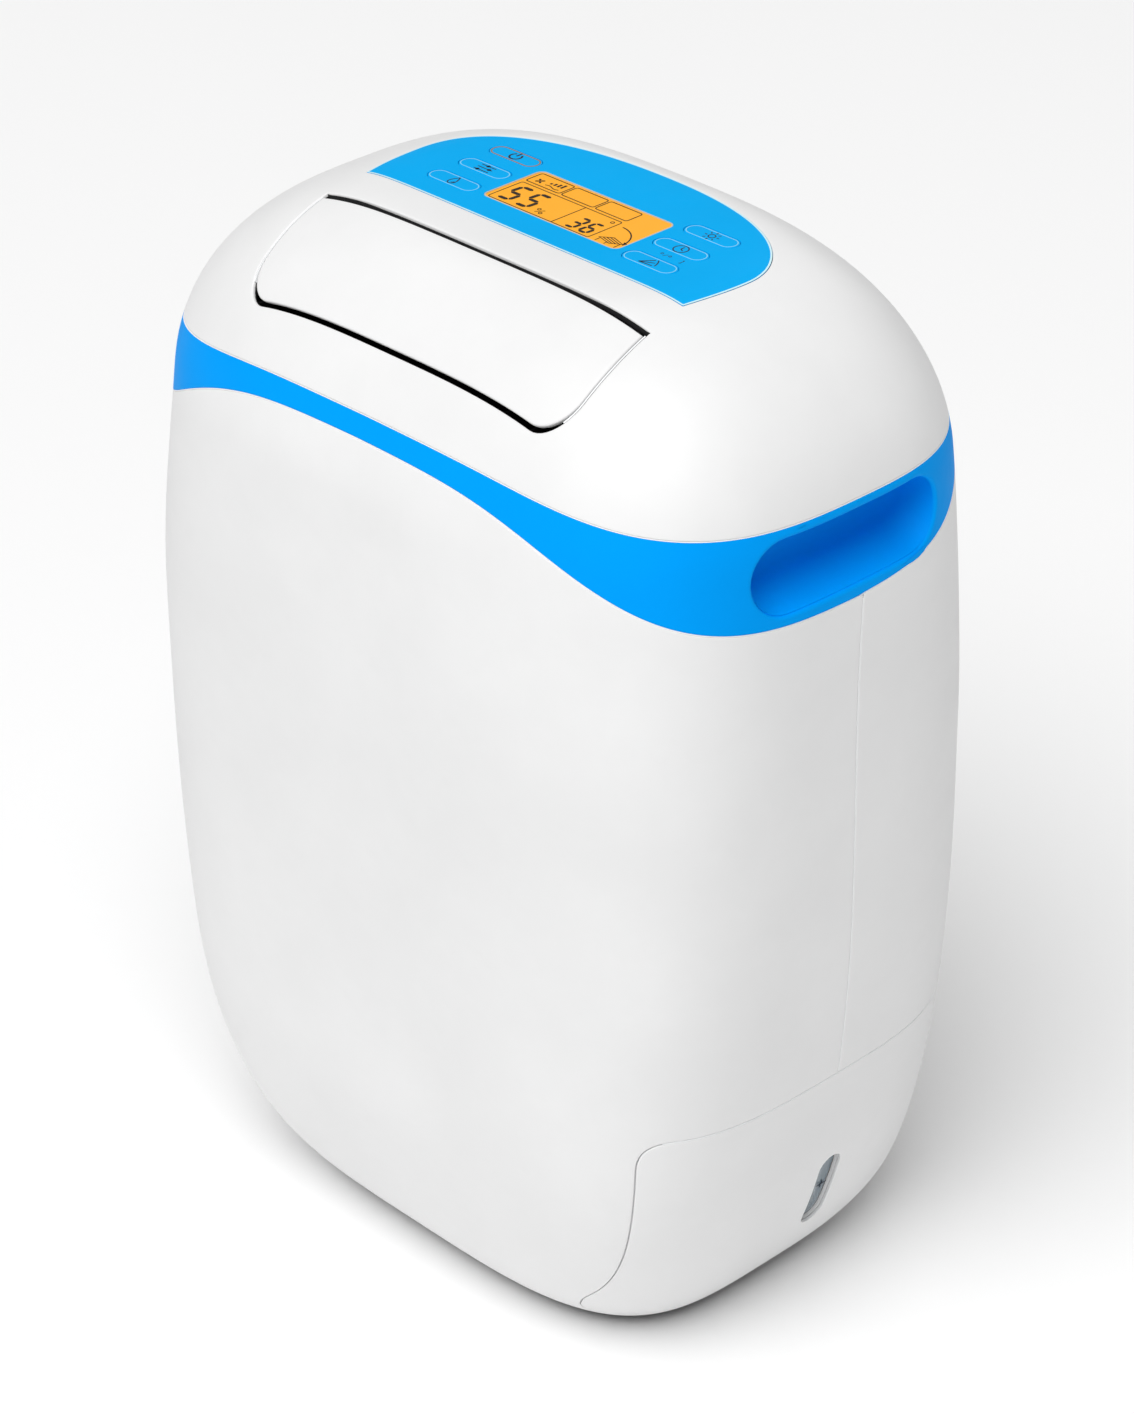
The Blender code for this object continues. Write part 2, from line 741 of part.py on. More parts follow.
def handle_band():
    """The coloured band round the body, with a carrying recess moulded into each side."""
    columns = RING[:-1]
    rows = 4
    points = []
    inner = []
    for i in range(rows + 1):
        for angle in columns:
            low = band_low(angle) + SEAM / 2
            high = band_high(angle) - SEAM / 2
            z = low + (high - low) * i / rows
            points.append(body_point(angle, z))
            inner.append(skin(angle, z, WALL))
    faces = grid_faces(rows + 1, len(columns), closed=True)
    band = new_object("handle_band", *thicken(points, inner, faces), (BLUE, 0.32))
    for side in ("right", "left"):
        hole, cup = handle_helpers(side)
        boolean(band, hole, "DIFFERENCE")
        boolean(band, cup, "UNION")
    return band


def top_cover():
    """The white crown, open over the outlet and recessed for the control panel."""
    columns = RING[:-1]
    heights = (0.30, 0.60, 0.84)
    upper = (0.4665, 0.4720, 0.4765, 0.4795)
    points = []
    inner = []
    for t in (0.0, *heights):
        for angle in columns:
            low = band_high(angle) + SEAM / 2
            z = low + (0.4600 - low) * t
            points.append(body_point(angle, z))
            inner.append(skin(angle, z, TOP_WALL))
    for z in (0.4600, *upper):
        for angle in columns:
            points.append(body_point(angle, z))
            inner.append(skin(angle, z, TOP_WALL))
    rows = 1 + len(heights) + 1 + len(upper)
    faces = grid_faces(rows, len(columns), closed=True)
    centre = len(points)
    middle = section(DOME_APEX)[5]
    points.append(np.array((0.0, middle, TOP_LEVEL)))
    inner.append(np.array((0.0, middle, TOP_LEVEL - TOP_WALL)))
    last = (rows - 1) * len(columns)
    for j in range(len(columns)):
        faces.append((last + j, last + (j + 1) % len(columns), centre))
    cover = new_object("top_cover", *thicken(points, inner, faces), (WHITE, 0.38))
    opening = flap_outline(OPENING_SIDE, OPENING_REAR, OPENING_FRONT)
    boolean(cover, cutter("outlet_opening", *prism(opening, 0.40, 0.49)), "DIFFERENCE")
    recess = panel_outline(GAP)
    boolean(cover, cutter("panel_recess", *prism(recess, PANEL_FLOOR, 0.49)), "DIFFERENCE")
    pocket = rounded_rectangle((-0.077, -0.012), (0.077, 0.041), 0.004)
    boolean(cover, cutter("display_opening", *prism(pocket, 0.46, 0.49)), "DIFFERENCE")
    return cover


# ---------------------------------------------------------------- flap and its mechanism
def flap_rows():
    """Places from the flap's rear edge to its front edge, close together round its front corners."""
    depth = FLAP_REAR_Y - FLAP_FRONT_Y
    rows = [FLAP_REAR_Y - depth * t for t in (0.0, 0.12, 0.32, 0.52)]
    return rows + [FLAP_FRONT_Y + FLAP_CORNER * (1 - math.sin(t * math.pi / 2)) for t in (0.0, 0.35, 0.68, 1.0)]


def flap_outline(side, rear, front):
    """The flap in plan, grown by a margin at its sides, rear and front."""
    depth = FLAP_REAR_Y - FLAP_FRONT_Y
    outline = []
    for y in flap_rows():
        t = (FLAP_REAR_Y - y) / depth
        outline.append((flap_half(y) + side, y + rear * (1 - t) - front * t))
    mirrored = [(-x, y) for x, y in outline]
    middle = [(0.0, FLAP_FRONT_Y - front)]
    return outline + middle + mirrored[::-1]


def flap_half(y):
    """Half width of the flap at a place between its rear and its front edge."""
    t = (FLAP_REAR_Y - y) / (FLAP_REAR_Y - FLAP_FRONT_Y)
    half = FLAP_HALF_REAR + (FLAP_HALF_FRONT - FLAP_HALF_REAR) * t + 0.0012 * math.sin(math.pi * t)
    into = FLAP_FRONT_Y + FLAP_CORNER - y
    if into > 0:
        half -= FLAP_CORNER - math.sqrt(max(FLAP_CORNER**2 - into**2, 0.0))
    return half


def outlet_flap():
    """The curved lid over the outlet, with two lugs under its rear edge."""
    ahead = flap_rows()
    columns = 10
    points = []
    inner = []
    for y in ahead:
        for j in range(columns + 1):
            x = flap_half(y) * (2 * j / columns - 1)
            surface = np.array((x, y, crown_height(x, y)))
            rounded = 0.0011 if y == FLAP_REAR_Y else 0.0
            points.append(surface - np.array((0.0, 0.0, rounded)))
            inner.append(surface - crown_normal(x, y) * FLAP_WALL)
    faces = [tuple(reversed(f)) for f in grid_faces(len(ahead), columns + 1)]
    hinge = (0.0, HINGE_Y, HINGE_Z)
    flap = new_object("outlet_flap", *thicken(points, inner, faces), (WHITE, 0.38), hinge)
    for side in (-1, 1):
        middle = side * LUG_X
        low = (middle - LUG_HALF, HINGE_Y - 0.0032, HINGE_Z - 0.0032)
        high = (middle + LUG_HALF, HINGE_Y + 0.0020, HINGE_Z + 0.0028)
        label = "right" if side > 0 else "left"
        boolean(flap, cutter(f"lug_{label}", *box_mesh(low, high)), "UNION")
        bore = lathe(((0, -0.006), (HINGE_PIN + GAP, -0.006), (HINGE_PIN + GAP, 0.006), (0, 0.006)),
                     (middle, HINGE_Y, HINGE_Z), "X", 12)
        boolean(flap, cutter(f"lug_bore_{label}", *bore), "DIFFERENCE")
    return flap


def flap_shaft():
    reach = LUG_X + 0.0075
    profile = ((0, -reach), (HINGE_PIN, -reach), (HINGE_PIN, reach), (0, reach))
    points, faces = lathe(profile, (0.0, HINGE_Y, HINGE_Z), "X", 12)
    return new_object("flap_shaft", points, faces, (STEEL, 0.3, 1.0))


def air_duct():
    """The duct from the fan's outlet, widening to the opening under the flap."""
    low_box = ((-0.0900, -0.0800), (-0.0100, -0.0300))
    high_box = ((-0.0968, -0.0925), (0.0968, -0.0378))
    levels = (0.0, 0.22, 0.45, 1.0)
    wall = 0.0016
    points = []
    inner = []
    count = 0
    for level in levels:
        blend = ease(level / 0.45)
        low = [a + (b - a) * blend for a, b in zip(low_box[0], high_box[0])]
        high = [a + (b - a) * blend for a, b in zip(low_box[1], high_box[1])]
        outline = duct_outline(low, high, 0.010)
        inside_line = duct_outline([v + wall for v in low], [v - wall for v in high], 0.010 - wall)
        count = len(outline)
        for line, store in ((outline, points), (inside_line, inner)):
            for x, y in line:
                bottom = OUTLET_Z + GAP
                normal = crown_normal(x, y)
                top = crown_height(x, y) - (TOP_WALL + 0.0008) / normal[2]
                store.append(np.array((x, y, bottom + (top - bottom) * level)))
    faces = grid_faces(len(levels), count, closed=True)
    return new_object("air_duct", *thicken(points, inner, faces), (DARK, 0.6))


def duct_outline(low, high, corner):
    """A round-cornered rectangle with extra points along its long sides."""
    outline = rounded_rectangle(low, high, corner, 2)
    filled = []
    for i, (x, y) in enumerate(outline):
        filled.append((x, y))
        nx, ny = outline[(i + 1) % len(outline)]
        if abs(nx - x) > 0.02:
            filled += [(x + (nx - x) * t, y + (ny - y) * t) for t in (0.25, 0.5, 0.75)]
    return filled


def outlet_vanes():
    """The fixed guide vanes in the duct's mouth: a frame with upright blades."""
    half = 0.0916
    frame = 0.0020
    blades = 9
    xs = [-half, -half + frame]
    for i in range(blades):
        middle = -half + (i + 1) * 2 * half / (blades + 1)
        xs += [middle - 0.0008, middle + 0.0008]
    xs += [half - frame, half]
    ys = (-0.0875, -0.0855, -0.0452, -0.0432)
    zs = (0.4240, 0.4340)

    def filled(i, j, k):
        return i % 2 == 0 or j in (0, 2)

    return new_object("outlet_vanes", *cells(xs, ys, zs, filled), (DARK, 0.5))


# ---------------------------------------------------------------- control panel
def panel_outline(margin=0.0, steps=16):
    """The panel in plan: an arched back and bowed sides that meet a straight front in points."""
    half = PANEL_HALF + margin
    outline = []
    for i in range(steps + 1):
        turn = math.pi * i / steps
        c = math.cos(turn)
        x = math.copysign(half * abs(c) ** (2 / PANEL_POWER), c)
        outline.append((x, PANEL_MIDDLE + (PANEL_ARCH + margin) * math.sin(turn) ** (2 / PANEL_POWER)))
    side = []
    for i in range(1, 5):
        below = (PANEL_MIDDLE - PANEL_FRONT + margin) * i / 4
        side.append((half * math.sqrt(1 - (below / PANEL_TAPER) ** 2), PANEL_MIDDLE - below))
    return outline + [(-x, y) for x, y in side] + side[::-1]


def button_outline(x, y, margin=0.0):
    return stadium(x, y, BUTTON_HALF + margin, BUTTON_WIDE / 2 + margin, steps=5)


BUTTONS = ("button_power", "button_mode", "button_humidity", "button_dim", "button_timer", "button_swing")


def button_place(name):
    order = BUTTONS.index(name)
    side = -1 if order < 3 else 1
    return side * BUTTON_X, BUTTON_ROWS[order % 3]


def control_panel():
    """The overlay plate with the display's window and six button holes."""
    panel = new_object("control_panel", *prism(panel_outline(), PANEL_FLOOR + GAP, PANEL_TOP), (CYAN, 0.25))
    window = rounded_rectangle((-LCD_HALF, LCD_Y[0]), (LCD_HALF, LCD_Y[1]), LCD_CORNER)
    boolean(panel, cutter("display_window", *prism(window, 0.46, 0.49)), "DIFFERENCE")
    for name in BUTTONS:
        x, y = button_place(name)
        hole = cutter(f"{name}_hole", *prism(button_outline(x, y, GAP), 0.46, 0.49))
        boolean(panel, hole, "DIFFERENCE")
    return panel


def buttons():
    for name in BUTTONS:
        x, y = button_place(name)
        points, faces = prism(button_outline(x, y), BUTTON_BOTTOM, TOP_LEVEL)
        new_object(name, points, faces, (CYAN, 0.3), (x, y, TOP_LEVEL))


def display():
    """Lens, display module and the board that carries them."""
    window = rounded_rectangle(
        (-LCD_HALF + GAP, LCD_Y[0] + GAP), (LCD_HALF - GAP, LCD_Y[1] - GAP), LCD_CORNER - GAP
    )
    new_object("display_lens", *prism(window, 0.4722, PANEL_TOP - 0.0001), ((0.9, 0.45, 0.05), 0.1, 0.0, 0.5))
    box("display_module", (-0.0415, -0.0068, 0.4646), (0.0415, 0.0321, 0.4718), ((0.9, 0.5, 0.1), 0.4))
    box("display_board", (-0.0755, -0.0105, 0.4625), (0.0755, 0.0395, 0.4641), (BOARD, 0.5))


# ---------------------------------------------------------------- rear
def rear_cover():
    """The rear half of the casing, open for the intake grille, with bosses for its screws."""
    cover = half_cover("rear_cover", SEAM / 2 / HALF_WIDTH, math.pi - SEAM / 2 / HALF_WIDTH, True, (WHITE, 0.38))
    low = (-GRILLE_HALF - SEAM, GRILLE_Z[0] - SEAM)
    high = (GRILLE_HALF + SEAM, GRILLE_Z[1] + SEAM)
    opening = rounded_rectangle(low, high, 0.0005, 1)
    boolean(cover, cutter("intake_opening", *prism(opening, 0.08, 0.14, "Y")), "DIFFERENCE")
    for number, (x, z) in enumerate(screw_places(), 1):
        surface = rear_y(x, z)
        boss = lathe(((0, -0.012), (0.0062, -0.012), (0.0062, -0.0016), (0, -0.0016)), (x, surface, z), "Y", 12)
        boolean(cover, cutter(f"screw_boss_{number}", *boss), "UNION")
        sink = lathe(
            ((0, -0.020), (0.0019, -0.020), (0.0019, -0.0070), (0.0042, -0.0070), (0.0042, 0.01), (0, 0.01)),
            (x, surface, z), "Y", 12,
        )
        boolean(cover, cutter(f"screw_sink_{number}", *sink), "DIFFERENCE")
    for name, (x, z), radius in (("gland_hole", GLAND_PLACE, 0.0072), ("drain_hole", DRAIN_PLACE, 0.0060)):
        hole = lathe(((0, -0.03), (radius, -0.03), (radius, 0.02), (0, 0.02)), (x, rear_y(x, z), z), "Y", 14)
        boolean(cover, cutter(name, *hole), "DIFFERENCE")
    return cover


def screw_places():
    return [(side * 0.088, z) for z in (0.150, 0.395) for side in (-1, 1)]


def case_screws():
    for number, (x, z) in enumerate(screw_places(), 1):
        seat = rear_y(x, z) - 0.0070 + GAP
        profile = ((0, -0.0120), (0.0015, -0.0120), (0.0015, 0.0), (0.0036, 0.0), (0.0034, 0.0018), (0, 0.0022))
        new_object(f"case_screw_{number}", *lathe(profile, (x, seat, z), "Y", 10), (STEEL, 0.35, 1.0))


def cord_gland():
    """The sleeve where the supply cord would enter, with its bore."""
    x, z = GLAND_PLACE
    profile = (
        (0.0036, -0.0150), (0.0068, -0.0150), (0.0068, GAP + 0.0002), (0.0095, GAP + 0.0002),
        (0.0090, 0.0018), (0.0036, 0.0018),
    )
    surface = rear_y(x, z) + 0.0005
    return new_object("cord_gland", *lathe(profile, (x, surface, z), "Y", 14), (DARK, 0.7))


def drain_fittings():
    """The continuous-drain spigot and the rubber plug that closes it."""
    x, z = DRAIN_PLACE
    surface = rear_y(x, z)
    spigot = ((0.0046, -0.0180), (0.0056, -0.0180), (0.0056, -0.0006), (0.0046, -0.0006))
    new_object("drain_port", *lathe(spigot, (x, surface, z), "Y", 16), (WHITE, 0.5))
    plug = (
        (0, -0.0100), (0.0043, -0.0100), (0.0043, 0.0006), (0.0085, 0.0006), (0.0082, 0.0016), (0, 0.0020),
    )
    new_object("drain_plug", *lathe(plug, (x, surface, z), "Y", 16), (DARK, 0.8), (x, surface, z))


def rear_grille():
    """The intake door: a framed row of slats that follows the rear face, hinged at its foot."""
    frame = 0.0060
    posts = (-0.0365, 0.0365)
    post_half = 0.0022
    half = GRILLE_HALF
    xs = [-half, -half + frame, -0.072, posts[0] - post_half, posts[0] + post_half,
          posts[1] - post_half, posts[1] + post_half, 0.072, half - frame, half]
    solid_columns = (0, 3, 5, 8)
    bottom = GRILLE_Z[0] + frame
    pitch = (GRILLE_Z[1] - GRILLE_Z[0] - 2 * frame) / (GRILLE_SLATS + 0.55)
    zs = [GRILLE_Z[0], bottom]
    for i in range(GRILLE_SLATS):
        zs += [bottom + pitch * (i + 0.55), bottom + pitch * (i + 1)]
    zs += [GRILLE_Z[1] - frame, GRILLE_Z[1]]
    points = []
    inner = []
    for z in zs:
        for x in xs:
            y = rear_y(x, z)
            points.append(np.array((x, y, z)))
            inner.append(np.array((x, y - WALL * 1.15, z)))

    def keep(i, j):
        return i % 2 == 0 or j in solid_columns

    faces = [tuple(reversed(f)) for f in grid_faces(len(zs), len(xs), keep=keep)]
    hinge = (0.0, rear_y(0.0, GRILLE_Z[0]), GRILLE_Z[0])
    return new_object("rear_grille", *thicken(points, inner, faces), (WHITE, 0.42), hinge)


def filter_parts():
    """A framed mesh that lifts out with the intake door."""
    half = 0.1035
    bar = 0.0040
    xs = (-half, -half + bar, -0.0355, -0.0335, 0.0335, 0.0355, half - bar, half)
    zs = (0.1725, 0.1765, 0.2690, 0.2710, 0.3635, 0.3675)
    ys = (FILTER_Y - 0.0025, FILTER_Y + 0.0025)

    def filled(i, j, k):
        return i % 2 == 0 or k % 2 == 0

    new_object("filter_frame", *cells(xs, ys, zs, filled), ((0.2, 0.22, 0.24), 0.6))
    face = FILTER_Y - 0.0025 - GAP
    box("filter_mesh", (-half + 0.001, face - 0.0008, 0.1735), (half - 0.001, face, 0.3665), ((0.1, 0.1, 0.11), 0.9))


# ---------------------------------------------------------------- base, tank bay and tank
def base_tray():
    """The floor plate inside the foot of the shells."""
    columns = RING[:-1]
    rim = []
    for angle in columns:
        here = body_point(angle, BODY_BOTTOM)
        rim.append((here[0] - 0.0058 * math.cos(angle), here[1] - 0.0058 * math.sin(angle)))
    return new_object("base_tray", *prism(rim, BODY_BOTTOM, 0.0090), (DARK, 0.6))


def feet():
    for number, (x, y) in enumerate(((-0.078, -0.045), (0.078, -0.045), (-0.078, 0.056), (0.078, 0.056)), 1):
        top = BODY_BOTTOM - GAP
        profile = ((0, 0.0), (0.0100, 0.0), (0.0110, 0.0012), (0.0110, top), (0, top))
        new_object(f"foot_{number}", *lathe(profile, (x, y, 0.0), "Z", 14), ((0.05, 0.05, 0.05), 0.9))


def tank_bay():
    """The wall and roof that part the tank from the machinery, one bent plate."""
    wall_levels = (0.0096, 0.016, 0.026, 0.040, 0.062, 0.090, 0.118)
    clear = 0.0042
    columns = 6
    points = []
    inner = []

    def row(x, z, along):
        inset = clear + 0.0045 * max(1.0 - z / 0.04, 0.0)
        front = front_y(x, z, inset)
        rear = rear_y(x, z, inset)
        for j in range(columns + 1):
            y = front + (rear - front) * j / columns
            points.append(np.array((x, y, z)))
            inner.append(np.array((x, y, z)) + np.array(along) * BAY_PLATE)

    for z in wall_levels:
        row(BAY_WALL_X, z, (-1.0, 0.0, 0.0))
    row(BAY_WALL_X, BAY_ROOF_Z, (-1.0, 0.0, 1.0))
    side = section(BAY_ROOF_Z)[0] - clear
    for t in (0.3, 0.6, 0.80, 0.92):
        row(BAY_WALL_X + (side - BAY_WALL_X) * t, BAY_ROOF_Z, (0.0, 0.0, 1.0))
    rows = len(points) // (columns + 1)
    faces = grid_faces(rows, columns + 1)
    bay = new_object("tank_bay", *thicken(points, inner, faces), ((0.75, 0.76, 0.77), 0.5))
    hole = lathe(((0, -0.01), (0.0066, -0.01), (0.0066, 0.01), (0, 0.01)), (*SPOUT, BAY_ROOF_Z), "Z", 14)
    return boolean(bay, cutter("spout_hole", *hole), "DIFFERENCE")


def tank_section(z, margin=0.0, count=24):
    """The tank's plan at a height: a soft rectangle that follows the tapering side of the body."""
    right = section(max(z, TANK_FLOOR_Z))[0] - 0.0085
    t = (z - TANK_FLOOR_Z) / (TANK_RIM_Z - TANK_FLOOR_Z)
    half_y = 0.0750 + 0.0135 * math.sqrt(max(t, 0.0)) - margin
    centre = (right + TANK_LEFT) / 2
    half_x = (right - TANK_LEFT) / 2 - margin
    power = 4.2
    outline = []
    for i in range(count):
        turn = 2 * math.pi * (i + 0.5) / count
        c = math.cos(turn)
        s = math.sin(turn)
        radius = ((abs(c) / half_x) ** power + (abs(s) / half_y) ** power) ** (-1 / power)
        outline.append((centre + radius * c, radius * s))
    return outline


def water_tank():
    """The open tub that catches the water."""
    floor = TANK_FLOOR_Z + 0.0012
    levels = (floor + 0.004, floor + 0.016, 0.060, 0.095, TANK_RIM_Z)
    count = 24
    points = []
    inner = []
    rings = [(floor, 0.010), *((z, 0.0) for z in levels)]
    for z, margin in rings:
        for x, y in tank_section(z, margin, count):
            points.append(np.array((x, y, z)))
        lift = TANK_WALL if z == floor else (TANK_WALL * 0.6 if z == levels[0] else 0.0)
        for x, y in tank_section(z, margin + (TANK_WALL if margin == 0.0 else 0.0), count):
            inner.append(np.array((x, y, z + lift)))
    faces = grid_faces(len(rings), count, closed=True)
    faces.append(tuple(range(count - 1, -1, -1)))
    return new_object("water_tank", *thicken(points, inner, faces), ((0.55, 0.62, 0.68), 0.2, 0.0, 0.7))


def tank_lid():
    """The lid on the tank's rim, with the hole that the drip spout stands over."""
    outline = tank_section(TANK_RIM_Z, 0.0005)
    lid = new_object("tank_lid", *prism(outline, TANK_RIM_Z + GAP, TANK_RIM_Z + 0.0028), (WHITE, 0.5))
    hole = lathe(((0, -0.02), (0.014, -0.02), (0.014, 0.02), (0, 0.02)), (*SPOUT, TANK_RIM_Z), "Z", 16)
    boolean(lid, cutter("inlet_hole", *hole), "DIFFERENCE")
    pour = rounded_rectangle((0.118, -0.050), (0.146, -0.020), 0.005, 2)
    return boolean(lid, cutter("pour_hole", *prism(pour, 0.10, 0.15)), "DIFFERENCE")


def tank_float():
    """The full-tank float on its arm, hinged near the tank's inner wall."""
    x, y, z = FLOAT_HINGE
    xs = (x, x + 0.004, x + 0.012, x + 0.046)
    ys = (y - 0.016, y - 0.004, y + 0.004, y + 0.016)
    zs = (z - 0.011, z - 0.0015, z + 0.0015, z + 0.005)

    def filled(i, j, k):
        if i == 2:
            return True
        return j == 1 and k == 1

    points, faces = cells(xs, ys, zs, filled)
    new_object("tank_float", points, faces, ((0.9, 0.9, 0.92), 0.5), FLOAT_HINGE)


def tank_switch():
    low = (BAY_WALL_X + GAP + 0.0002, -0.012, 0.100)
    box("tank_switch", low, (BAY_WALL_X + 0.0105, 0.008, 0.112), (DARK, 0.5), 0.0008)


# ---------------------------------------------------------------- machinery
def compressor_parts():
    x, y = COMPRESSOR
    r = COMPRESSOR_RADIUS
    profile = (
        (0, 0.0206), (0.050, 0.0206), (0.050, 0.0232), (r * 0.80, 0.0240), (r * 0.94, 0.032), (r, 0.045),
        (r, 0.090), (r * 1.03, 0.092), (r * 1.03, 0.097), (r, 0.099), (r, 0.150), (r * 0.93, 0.165),
        (r * 0.70, 0.174), (0, 0.176),
    )
    new_object("compressor", *lathe(profile, (x, y, 0.0), "Z", 20), ((0.04, 0.04, 0.045), 0.4, 0.3))
    for number in range(3):
        turn = 2 * math.pi * (number / 3 + 0.08)
        spot = (x + 0.036 * math.cos(turn), y + 0.036 * math.sin(turn), 0.0)
        grommet = ((0, 0.0093), (0.0080, 0.0093), (0.0065, 0.0150), (0.0080, 0.0203), (0, 0.0203))
        new_object(f"compressor_grommet_{number + 1}", *lathe(grommet, spot, "Z", 10), (DARK, 0.9))
    bottle = ((0, 0.060), (0.008, 0.060), (0.014, 0.068), (0.014, 0.132), (0.008, 0.142), (0, 0.142))
    new_object("suction_accumulator", *lathe(bottle, (-0.108, 0.066, 0.0), "Z", 14), (COPPER, 0.4, 1.0))


def coil_heights():
    low, high = COIL_Z
    pitch = (high - low) / COIL_PASSES
    return [low + pitch * (i + 0.5) for i in range(COIL_PASSES)]


def coil(name, y, finish):
    """A finned block and the serpentine tube through it."""
    low = (COIL_X[0], y - COIL_DEPTH / 2, COIL_Z[0])
    high = (COIL_X[1], y + COIL_DEPTH / 2, COIL_Z[1])
    block = box(f"{name}_fins", low, high, finish)
    heights = coil_heights()
    for number, z in enumerate(heights, 1):
        reach = 0.12
        bore = TUBE_RADIUS + 2 * GAP
        profile = ((0, -reach), (bore, -reach), (bore, reach), (0, reach))
        hole = lathe(profile, (0.0065, y, z), "X", 10)
        boolean(block, cutter(f"{name}_bore_{number}", *hole), "DIFFERENCE")
    corners = [(COIL_X[0] - 0.012, y, heights[0])]
    for i, z in enumerate(heights):
        end = COIL_X[1] + 0.0125 if i % 2 == 0 else COIL_X[0] - 0.0125
        corners.append((end, y, z))
        if i < len(heights) - 1:
            corners.append((end, y, heights[i + 1]))
    corners[-1] = (COIL_X[0] - 0.012, y, heights[-1])
    tube(f"{name}_tube", bent_path(corners, 0.009, 3), TUBE_RADIUS, (COPPER, 0.35, 1.0), 6)


def pipes():
    """The lines that join compressor, condenser, drier and evaporator."""
    x, y = COMPRESSOR
    heights = coil_heights()
    start = COIL_X[0] - 0.012 - GAP
    tube("discharge_pipe",
         bent_path([(x, y, 0.1764), (x, y, 0.184), (-0.128, y, 0.184), (-0.128, CONDENSER_Y, heights[-1]),
                    (start, CONDENSER_Y, heights[-1])], 0.006, 3), 0.003, (COPPER, 0.35, 1.0), 8)
    tube("suction_pipe",
         bent_path([(-0.108, 0.066, 0.1424), (-0.108, 0.066, 0.1562), (-0.120, EVAPORATOR_Y, 0.165),
                    (-0.120, EVAPORATOR_Y, heights[0]), (start, EVAPORATOR_Y, heights[0])], 0.005, 3),
         0.003, (COPPER, 0.35, 1.0), 8)
    drier = ((0, 0.0), (0.003, 0.0), (0.008, 0.008), (0.008, 0.062), (0.003, 0.070), (0, 0.070))
    new_object("filter_drier", *lathe(drier, (-0.143, 0.030, 0.210), "Z", 12), (COPPER, 0.35, 1.0))


def drip_tray():
    """The tray under the coils, with its spout over the tank."""
    low = (-0.099, 0.036, 0.1480)
    high = (0.112, 0.0960, 0.1640)
    wall = 0.0018
    xs = (low[0], low[0] + wall, high[0] - wall, high[0])
    ys = (low[1], low[1] + wall, high[1] - wall, high[1])
    zs = (low[2], low[2] + wall, high[2])

    def filled(i, j, k):
        return k == 0 or i != 1 or j != 1

    tray = new_object("drip_tray", *cells(xs, ys, zs, filled), (WHITE, 0.5))
    spout = lathe(((0, -0.0130), (0.0055, -0.0130), (0.0062, 0.0008), (0, 0.0008)), (*SPOUT, low[2]), "Z", 14)
    boolean(tray, cutter("spout_outside", *spout), "UNION")
    bore = lathe(((0, -0.02), (0.0040, -0.02), (0.0040, 0.01), (0, 0.01)), (*SPOUT, low[2]), "Z", 14)
    return boolean(tray, cutter("spout_bore", *bore), "DIFFERENCE")


def scroll_outline(margin):
    """The fan's spiral housing in X-Z, with its outlet going up on the left."""
    left = FAN_X - 0.100 + margin
    tongue = -0.012 - margin
    outline = [(left, OUTLET_Z), (left, FAN_Z)]
    steps = 22
    for i in range(1, steps + 1):
        turn = math.pi * (1.0 + 1.42 * i / steps)
        radius = 0.100 - 0.021 * i / steps - margin
        outline.append((FAN_X + radius * math.cos(turn), FAN_Z + radius * math.sin(turn)))
    outline.append((tongue, FAN_Z + 0.086))
    outline.append((tongue, OUTLET_Z))
    return outline


def fan_parts():
    """Scroll housing, wheel and motor."""
    wall = 0.0018
    front, rear = FAN_Y
    scroll = new_object("fan_scroll", *prism(scroll_outline(0.0), front, rear, "Y"), ((0.12, 0.12, 0.13), 0.5))
    hollow = scroll_outline(wall)
    hollow[0] = (hollow[0][0], OUTLET_Z + 0.01)
    hollow[-1] = (hollow[-1][0], OUTLET_Z + 0.01)
    boolean(scroll, cutter("scroll_hollow", *prism(hollow, front + wall, rear - wall, "Y")), "DIFFERENCE")
    inlet = lathe(((0, -0.005), (0.055, -0.005), (0.055, 0.005), (0, 0.005)), (FAN_X, rear, FAN_Z), "Y", 28)
    boolean(scroll, cutter("scroll_inlet", *inlet), "DIFFERENCE")
    shaft = lathe(((0, -0.01), (0.0105, -0.01), (0.0105, 0.01), (0, 0.01)), (FAN_X, front, FAN_Z), "Y", 14)
    boolean(scroll, cutter("scroll_shaft_hole", *shaft), "DIFFERENCE")
    fan_wheel()
    motor = (
        (0, -0.0300), (0.028, -0.0300), (0.033, -0.0260), (0.033, -0.0050), (0.028, -0.0006),
        (0.0095, -0.0006), (0.0095, 0.0030), (0.0030, 0.0030), (0.0030, 0.0400), (0, 0.0400),
    )
    new_object("fan_motor", *lathe(motor, (FAN_X, front, FAN_Z), "Y", 20), (STEEL, 0.45, 0.8))


